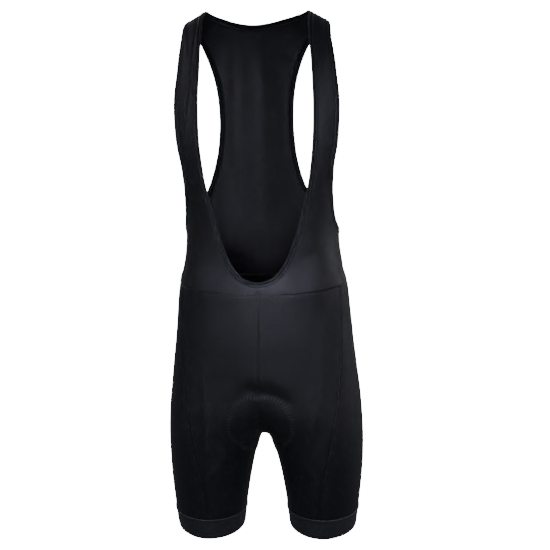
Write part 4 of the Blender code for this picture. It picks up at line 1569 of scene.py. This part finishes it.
quarters = []
for side, label in LABELS.items():
    for facing, cut, rows in (("front", fronts, PAD_FRONT), ("back", backs, PAD_BACK)):
        outer, inner = pad_quarter(f"shorts_{facing}_{label}", cut, rows)
        quarters.append((outer, inner, (side == LEFT) == (facing == "front")))
shape = pad_shape(quarters)
mesh = bpy.data.meshes.new("seat_pad_foam")
shape.to_mesh(mesh)
shape.free()
mesh.shade_smooth()
pad = add_piece("seat_pad_foam", mesh, pad_fleece, "pad", "seat_pad")
print("seat pad:", len(mesh.vertices), "points")

# %% [markdown]
# ## Stitches
# Flat seams have a row of stitches on each side, the bindings one row down the middle, the leg bands
# one under their turned edge, and the pad a wide zigzag. Python works out where each stitch lies.
# Geometry Nodes puts a bead of thread on every such point, with the point's own size and turn, which
# is quicker than thousands of objects and leaves one mesh for each kind of seam.

# %% Tree of the stitches
STITCH_INPUTS = (         # names and kinds, in their order in the modifier
    ("Geometry", "Geometry"),
    ("Segments", "Int"),
    ("Rings", "Int"),
    ("Least Size", "Float"),
    ("Seed", "Int"),
    ("Thread", "Material"),
)


def stitch_tree():
    """Geometry Nodes tree: a bead of thread on every point, with the point's own size and turn."""
    tree = bpy.data.node_groups.new("Stitches", "GeometryNodeTree")
    for name, kind in STITCH_INPUTS:
        tree.interface.new_socket(name, in_out="INPUT", socket_type="NodeSocket" + kind)
    tree.interface.new_socket("Geometry", in_out="OUTPUT", socket_type="NodeSocketGeometry")
    given = tree.nodes.new("NodeGroupInput").outputs
    bead = add_node(
        tree, "GeometryNodeMeshUVSphere", ("Segments", given["Segments"]), ("Rings", given["Rings"]),
        Radius=1.0,
    )
    read = {
        name: add_node(tree, "GeometryNodeInputNamedAttribute", data_type="FLOAT_VECTOR", Name=name)
        for name in ("outward", "along", "size")
    }
    turn = add_node(
        tree, "FunctionNodeAxesToRotation", ("Primary Axis", read["outward"].outputs["Attribute"]),
        ("Secondary Axis", read["along"].outputs["Attribute"]), primary_axis="Z", secondary_axis="X",
    )
    uneven = add_node(
        tree, "FunctionNodeRandomValue", (2, given["Least Size"]), ("Seed", given["Seed"]),
        data_type="FLOAT",
    )
    scale = add_node(
        tree, "ShaderNodeVectorMath", (0, read["size"].outputs["Attribute"]),
        ("Scale", uneven.outputs[1]), operation="SCALE",
    )
    beads = add_node(
        tree, "GeometryNodeInstanceOnPoints", ("Points", given["Geometry"]),
        ("Instance", bead.outputs["Mesh"]), ("Rotation", turn.outputs["Rotation"]),
        ("Scale", scale.outputs["Vector"]),
    )
    real = add_node(tree, "GeometryNodeRealizeInstances", ("Geometry", beads.outputs["Instances"]))
    painted = add_node(
        tree, "GeometryNodeSetMaterial", ("Geometry", real.outputs["Geometry"]),
        ("Material", given["Thread"]),
    )
    result = tree.nodes.new("NodeGroupOutput")
    tree.links.new(painted.outputs["Geometry"], result.inputs["Geometry"])
    return tree


stitches_tree = stitch_tree()
print("inputs of the stitch tree:", ", ".join(socket.name for socket in stitches_tree.interface.items_tree))

# %% [markdown]
# The points carry their directions and sizes as attributes, which the tree reads. Its result is made
# a plain mesh, because instances and live modifiers would be lost in an export.

# %% Sew with thread
BEAD = {"Segments": 5, "Rings": 4, "Least Size": 0.88}      # few faces, and uneven by an eighth


def sew(name, stitches, finish, slot, seed):
    """Piece of thread: a bead for each stitch (place, direction, outward, length, radius)."""
    places, directions, outwards, lengths, radii = (np.array(column) for column in zip(*stitches))
    mesh = bpy.data.meshes.new(name)
    mesh.from_pydata(places.tolist(), [], [])
    sizes = np.stack([lengths / 2, radii, radii], axis=1)
    for attribute, values in (("along", directions), ("outward", outwards), ("size", sizes)):
        layer = mesh.attributes.new(attribute, "FLOAT_VECTOR", "POINT")
        layer.data.foreach_set("vector", values.astype(np.float32).ravel())
    marks = bpy.data.objects.new(name + "_marks", mesh)
    bpy.context.scene.collection.objects.link(marks)
    nodes = marks.modifiers.new("Stitches", "NODES")
    nodes.node_group = stitches_tree
    values = {**BEAD, "Seed": seed, "Thread": finish}
    for socket in stitches_tree.interface.items_tree:
        if socket.name in values:
            nodes[socket.identifier] = values[socket.name]
    made = marks.evaluated_get(bpy.context.evaluated_depsgraph_get())
    thread_mesh = bpy.data.meshes.new_from_object(made)
    bpy.data.objects.remove(marks)
    thread_mesh.name = name
    thread_mesh.shade_smooth()
    thread_mesh.materials.clear()
    piece = add_piece(name, thread_mesh, finish, slot)
    print(f"{name}: {len(places)} stitches, {2 * len(thread_mesh.polygons)} triangles at most")
    return piece


print("faces of one bead:", BEAD["Segments"] * BEAD["Rings"])

# %% [markdown]
# A straight row has one bead for each stitch, with the real pitch of a flat seam, a binding or a
# band. Such thread is a fifth of a millimetre thick. That is too fine to show, so the beads are about
# twice as thick, and those of the leg bands five times, since their grey thread paints the highlight
# along the band's upper edge.

# %% Rows of stitches
Stitch = namedtuple("Stitch", "pitch length radius")
SEAM_STITCH = Stitch(0.0028, 0.0026, 0.00018)
BINDING_STITCH = Stitch(0.0026, 0.0030, 0.00024)
# the leg bands' thick grey beads are a painted highlight along their raised upper edge
BAND_STITCH = Stitch(0.0026, 0.0028, 0.00050)


def read_along(path, values, distances):
    """Values known at the points of a path, read at running lengths."""
    along = lengths_along(path)
    return np.stack([np.interp(distances, along, values[:, axis]) for axis in range(3)], axis=1)


def straight_stitches(path, normals, stitch, above):
    """Stitches in a row along a path, a little above it."""
    count = int(lengths_along(path)[-1] / stitch.pitch)
    middles = (np.arange(count) + 0.5) * stitch.pitch
    places = points_at(path, middles)
    ahead = points_at(path, middles + stitch.pitch / 4) - points_at(path, middles - stitch.pitch / 4)
    outwards = read_along(path, normals, middles)
    ahead /= np.maximum(np.linalg.norm(ahead, axis=1, keepdims=True), 1e-9)
    places = places + outwards * above
    return [(*row, stitch.length, stitch.radius) for row in zip(places, ahead, outwards)]


print("stitches in 10 mm of seam:", round(0.010 / SEAM_STITCH.pitch, 1))

# %% [markdown]
# The edges that carry a row of stitches are every seam of a panel, but not the edges inside a
# binding.

# %% Sew the seams
STITCH_ROW = 2            # the row of a panel's net at 2.2 mm from the seam
FIRST, LAST = STITCH_ROW, -1 - STITCH_ROW


def seam_rows(node, rows=(), columns=()):
    """Stitches along some of a panel's rows and columns."""
    net, normals = panels[node]
    made = []
    for row in rows:
        made += straight_stitches(net[row], normals[row], SEAM_STITCH, CLOTH / 2)
    for column in columns:
        made += straight_stitches(net[:, column], normals[:, column], SEAM_STITCH, CLOTH / 2)
    return made


bib_seams = seam_rows("bib_back", rows=(FIRST,))
shorts_seams = []
for label in LABELS.values():
    bib_seams += seam_rows(f"bib_front_{label}", rows=(FIRST, LAST))
    for part in ("front", "back", "side"):
        shorts_seams += seam_rows(f"shorts_{part}_{label}", (FIRST, LAST), (FIRST, LAST))
sew("bib_seam_stitches", bib_seams, seam_thread, "bib_knit", seed=3)
sew("shorts_seam_stitches", shorts_seams, seam_thread, "shorts_knit", seed=5)

# %% [markdown]
# The row of the leg bands holds their turned edge down, and its grey thread is a painted highlight
# along that edge. That of the bindings lies in the groove between their ridges.

# %% Sew the bands and bindings
BINDING_THREAD_RISE = 0.0006

band_stitches = []
for label in LABELS.values():
    net, normals = panels[f"leg_band_{label}"]
    ring = np.concatenate([net[1], net[1, :1]])
    ring_normals = np.concatenate([normals[1], normals[1, :1]])
    band_stitches += straight_stitches(ring, ring_normals, BAND_STITCH, BAND_CLOTH / 2)
sew("leg_band_stitches", band_stitches, band_highlight_thread, "leg_band_elastic", seed=9)

binding_stitches = []
for edge, turned, sides_worn in ((neck_edge, 1, (LEFT,)), (arm_edge, -1, (LEFT, RIGHT))):
    for side in sides_worn:
        line, normals = worn_strip(edge, BINDING_GROOVE, turned, side)
        binding_stitches += straight_stitches(line, normals, BINDING_STITCH, BINDING_THREAD_RISE)
sew("binding_stitches", binding_stitches, seam_thread, "binding_elastic", seed=7)

# %% [markdown]
# ## The pad's zigzag
# The zigzag follows the pad's outline over the front panel, the inseam and the back panel. A machine
# lays it as legs that cross the pad's edge, each 7.6 mm long. The cloth isn't flat there, so each leg
# is made of short beads, and every end of a bead is dropped on the nearest point of the cloth. The
# beads are 1.5 mm thick, coarser than the real thread, so that the line shows from a step away.

# %% Stitches across an edge
ZIGZAG_STITCH = Stitch(0.0057, 0.0076, 0.00075)
ZIGZAG_SLANT = 0.12       # how far a leg of the zigzag leans along the seam
CROSS_PARTS = 4
CROSS_LAP = 1.25          # each bead is this much longer than its stretch, so that they join
SMOOTH_ROUNDS = 6


def smoothed(values):
    """Values along a path with their small corners rounded off; the ends stay."""
    rounded = values.copy()
    for _ in range(SMOOTH_ROUNDS):
        rounded[1:-1] = (rounded[:-2] + 2 * rounded[1:-1] + rounded[2:]) / 4
    return rounded


def cross_stitches(path, normals, stitch, surface):
    """Stitches across a path, laid on a surface in short stretches."""
    count = int(lengths_along(path)[-1] / stitch.pitch)
    middles = (np.arange(count) + 0.5) * lengths_along(path)[-1] / count
    places = smoothed(points_at(path, middles))
    outwards = smoothed(read_along(path, normals, middles))
    ahead = np.gradient(places, axis=0)
    ahead /= np.maximum(np.linalg.norm(ahead, axis=1, keepdims=True), 1e-9)
    across = np.cross(outwards, ahead)
    made = []
    for place, along, side in zip(places, ahead, across):
        shares = np.linspace(-0.5, 0.5, CROSS_PARTS + 1)[:, None]
        line = place + (side + ZIGZAG_SLANT * along) * shares * stitch.length
        found = [surface.find_nearest(Vector(point))[:2] for point in line]
        line = np.array([spot + facing * stitch.radius / 2 for spot, facing in found])
        for start, end, (_, facing) in zip(line, line[1:], found):
            part = np.linalg.norm(end - start)
            made.append(((start + end) / 2, (end - start) / part, facing, CROSS_LAP * part, stitch.radius))
    return made


print(f"zigzag: a leg each {ZIGZAG_STITCH.pitch * 1000:.1f} mm, in {CROSS_PARTS} beads")

# %% [markdown]
# The two panels of a leg are joined to one surface for it, so that a leg may cross the inseam.

# %% Sew the zigzag
def pad_path(label):
    """The pad's outline on one side, its outward directions, and the cloth that it runs over."""
    path, directions, points, faces = [], [], [], []
    for facing, cut, rows in (("front", fronts, PAD_FRONT), ("back", backs, PAD_BACK)):
        net, normals = panels[f"shorts_{facing}_{label}"]
        corners = net_faces(*net.shape[:2])
        if (facing == "front") == (label == "left"):
            corners = corners[:, ::-1]
        faces += (corners + len(points)).tolist()
        points += (net + normals * CLOTH / 2).reshape(-1, 3).tolist()
        found = []
        for row, out, cut_row in zip(net, normals, cut):
            width = pad_half_width(rows, cut_row[0, 2] - CROTCH_LEVEL)
            if width > 0:
                found.append((points_at(row, [width])[0], read_along(row, out, [width])[0]))
        found = found if facing == "front" else found[::-1]
        path += [place for place, _ in found]
        directions += [outward for _, outward in found]
    return np.array(path), np.array(directions), BVHTree.FromPolygons(points, faces)


zigzag = []
for label in LABELS.values():
    path, directions, surface = pad_path(label)
    zigzag += cross_stitches(path, directions, ZIGZAG_STITCH, surface)
sew("pad_zigzag", zigzag, pad_thread, "shorts_knit", seed=11)

# %% [markdown]
# ## Cove
# The garment hangs free in a round white cove that glows evenly, as in a product picture. A plane
# with a curved back would show its edges from behind, so floor and wall run all the way round. The
# cove is lit for the picture alone: it gives the black cloth no light and no reflection.

# %% Cove
FLOOR_LEVEL = -1.30
ROOM_RADIUS = 4.8
ROOM_BEND = 1.5           # radius of the bend between floor and wall
ROOM_BEND_ROWS = 16
ROOM_TOP = 4.5
ROOM_COLUMNS = 72
ROOM_CENTRE = 0.01        # radius of the smallest ring, in the middle of the floor
SWEEP_GLOW = 20.0


def sweep_mesh():
    """Floor and wall in one piece all round, joined by a soft bend."""
    profile = [(ROOM_CENTRE, FLOOR_LEVEL)]
    for turn in np.linspace(0.0, math.pi / 2, ROOM_BEND_ROWS):
        radius = ROOM_RADIUS - ROOM_BEND * (1 - math.sin(turn))
        profile.append((radius, FLOOR_LEVEL + ROOM_BEND * (1 - math.cos(turn))))
    profile.append((ROOM_RADIUS, ROOM_TOP))
    turns = np.arange(ROOM_COLUMNS) * 2 * math.pi / ROOM_COLUMNS
    net = np.array([[(r * math.cos(t), r * math.sin(t), z) for t in turns] for r, z in profile])
    faces = net_faces(len(profile), ROOM_COLUMNS, closed=True)[:, ::-1]
    mesh = bpy.data.meshes.new("Studio cove")
    mesh.from_pydata(net.reshape(-1, 3).tolist(), [], faces.tolist())
    mesh.shade_smooth()
    return mesh


def sweep_material():
    """Matt white paint on board, faintly uneven."""
    finish, tree, shader = start_material("Matt white paint")
    place = add_node(tree, "ShaderNodeTexCoord")
    cloud = add_node(
        tree, "ShaderNodeTexNoise", ("Vector", place.outputs["Object"]), Scale=0.8, Detail=2.0,
    )
    shade = add_node(tree, "ShaderNodeValToRGB", ("Fac", cloud.outputs["Fac"]))
    shade.color_ramp.elements[0].color = linear("#f4f4f4")
    shade.color_ramp.elements[1].color = linear("#fafafa")
    tree.links.new(shade.outputs["Color"], shader.inputs["Base Color"])
    shader.inputs["Roughness"].default_value = 0.9
    shader.inputs["Emission Color"].default_value = (1.0, 1.0, 1.0, 1.0)
    shader.inputs["Emission Strength"].default_value = SWEEP_GLOW
    return finish


sweep = bpy.data.objects.new("Studio cove", sweep_mesh())
sweep.data.materials.append(sweep_material())
sweep.visible_diffuse = False
sweep.visible_glossy = False
bpy.context.scene.collection.objects.link(sweep)
print("cove:", len(sweep.data.polygons), "faces,", ROOM_RADIUS * 2, "m across")

# %% [markdown]
# ## Light
# Black knit shows little colour of its own, so the lamps are placed for their reflections. There
# are soft ones in front and beside it and edge lights behind. Four have grids, which narrow their
# light to one area: two lift the waist and belly, one high lamp reaches the foot of the back's
# inside, and one low lamp its top.

# %% Lamps
def area_light(name, place, target, size, power, spread=180.0):
    """Square soft light that faces a point; a grid on it narrows its spread, in degrees."""
    data = bpy.data.lights.new(name, "AREA")
    data.shape = "SQUARE"
    data.size = size
    data.energy = power
    data.spread = math.radians(spread)
    lamp = bpy.data.objects.new(name, data)
    lamp.location = place
    lamp.rotation_euler = (Vector(target) - Vector(place)).to_track_quat("-Z", "Y").to_euler()
    bpy.context.scene.collection.objects.link(lamp)
    return lamp


MIDDLE = (0.0, 0.0, -0.4)
BELLY = (0.0, -0.1, -0.46)
FOOT_OF_BACK = (0.0, 0.095, -0.50)
TOP_OF_BACK = (0.0, 0.07, -0.09)
AIR_GLOW = 0.09           # faint even light from all round, which keeps the shadows open

lamps = [
    area_light("Front softbox", (0.0, -2.39, -0.19), MIDDLE, 0.6, 12.2),
    area_light("Right front softbox", (1.78, -1.49, 0.22), MIDDLE, 0.6, 10.2),
    area_light("Left wall softbox", (-2.44, -1.41, 0.63), MIDDLE, 2.0, 12),
    area_light("Right edge softbox", (2.20, 0.90, -0.30), MIDDLE, 0.7, 7.2),
    area_light("Left edge softbox", (-1.94, 0.34, 0.98), MIDDLE, 0.7, 4),
    area_light("Gridded right softbox", (1.29, -1.85, 0.42), BELLY, 0.4, 0.17, spread=14),
    area_light("Gridded left softbox", (-1.29, -1.85, 0.42), BELLY, 0.4, 0.10, spread=14),
    area_light("Gridded high softbox", (0.0, -2.35, 0.30), FOOT_OF_BACK, 0.08, 0.035, spread=4.2),
    area_light("Gridded low softbox", (0.0, -1.70, -1.50), TOP_OF_BACK, 0.3, 0.048, spread=10),
    area_light("Right back softbox", (1.7, 2.4, 0.5), MIDDLE, 0.9, 8),
    area_light("Left back softbox", (-1.7, 2.4, 0.5), MIDDLE, 0.9, 6),
]

world = bpy.data.worlds.new("Studio air")
world.use_nodes = True
world.node_tree.nodes["Background"].inputs["Color"].default_value = (1.0, 1.0, 1.0, 1.0)
world.node_tree.nodes["Background"].inputs["Strength"].default_value = AIR_GLOW
bpy.context.scene.world = world
print(len(lamps), "lamps,", round(sum(lamp.data.energy for lamp in lamps), 1), "W in all")

# %% [markdown]
# ## Camera
# A long lens from 2.7 m keeps the garment's proportions true. The camera stands at shoulder height,
# a little towards the wearer's left, and looks down at the waist. A constraint could aim it. Its
# directions are worked out here, so that its slight roll is one number as well.

# %% Camera
CAMERA_TURN = math.radians(5.6)       # from straight ahead towards the wearer's left
CAMERA_DISTANCE = 2.70
CAMERA_HEIGHT = 0.02
CAMERA_PITCH = math.radians(9.58)     # downwards
CAMERA_ROLL = math.radians(0.95)
SENSOR = 36.0             # millimetres
FOCAL_LENGTH = 106.76
CAMERA_SHIFT = 0.0207     # share of the picture's width

right = Vector((math.cos(CAMERA_TURN), math.sin(CAMERA_TURN), 0.0))
ahead = Vector((
    -math.sin(CAMERA_TURN) * math.cos(CAMERA_PITCH),
    math.cos(CAMERA_TURN) * math.cos(CAMERA_PITCH),
    -math.sin(CAMERA_PITCH),
))
up = right.cross(ahead)
rolled_right = right * math.cos(CAMERA_ROLL) - up * math.sin(CAMERA_ROLL)
rolled_up = up * math.cos(CAMERA_ROLL) + right * math.sin(CAMERA_ROLL)
camera_data = bpy.data.cameras.new("Camera")
camera_data.sensor_width = SENSOR
camera_data.lens = FOCAL_LENGTH
camera_data.shift_x = CAMERA_SHIFT
camera = bpy.data.objects.new("Camera", camera_data)
turn = Matrix((rolled_right, rolled_up, -ahead)).transposed().to_4x4()
place = (CAMERA_DISTANCE * math.sin(CAMERA_TURN), -CAMERA_DISTANCE * math.cos(CAMERA_TURN), CAMERA_HEIGHT)
camera.matrix_world = Matrix.Translation(place) @ turn
bpy.context.scene.collection.objects.link(camera)
bpy.context.scene.camera = camera
print("the camera stands at", [round(value, 2) for value in place], "m")
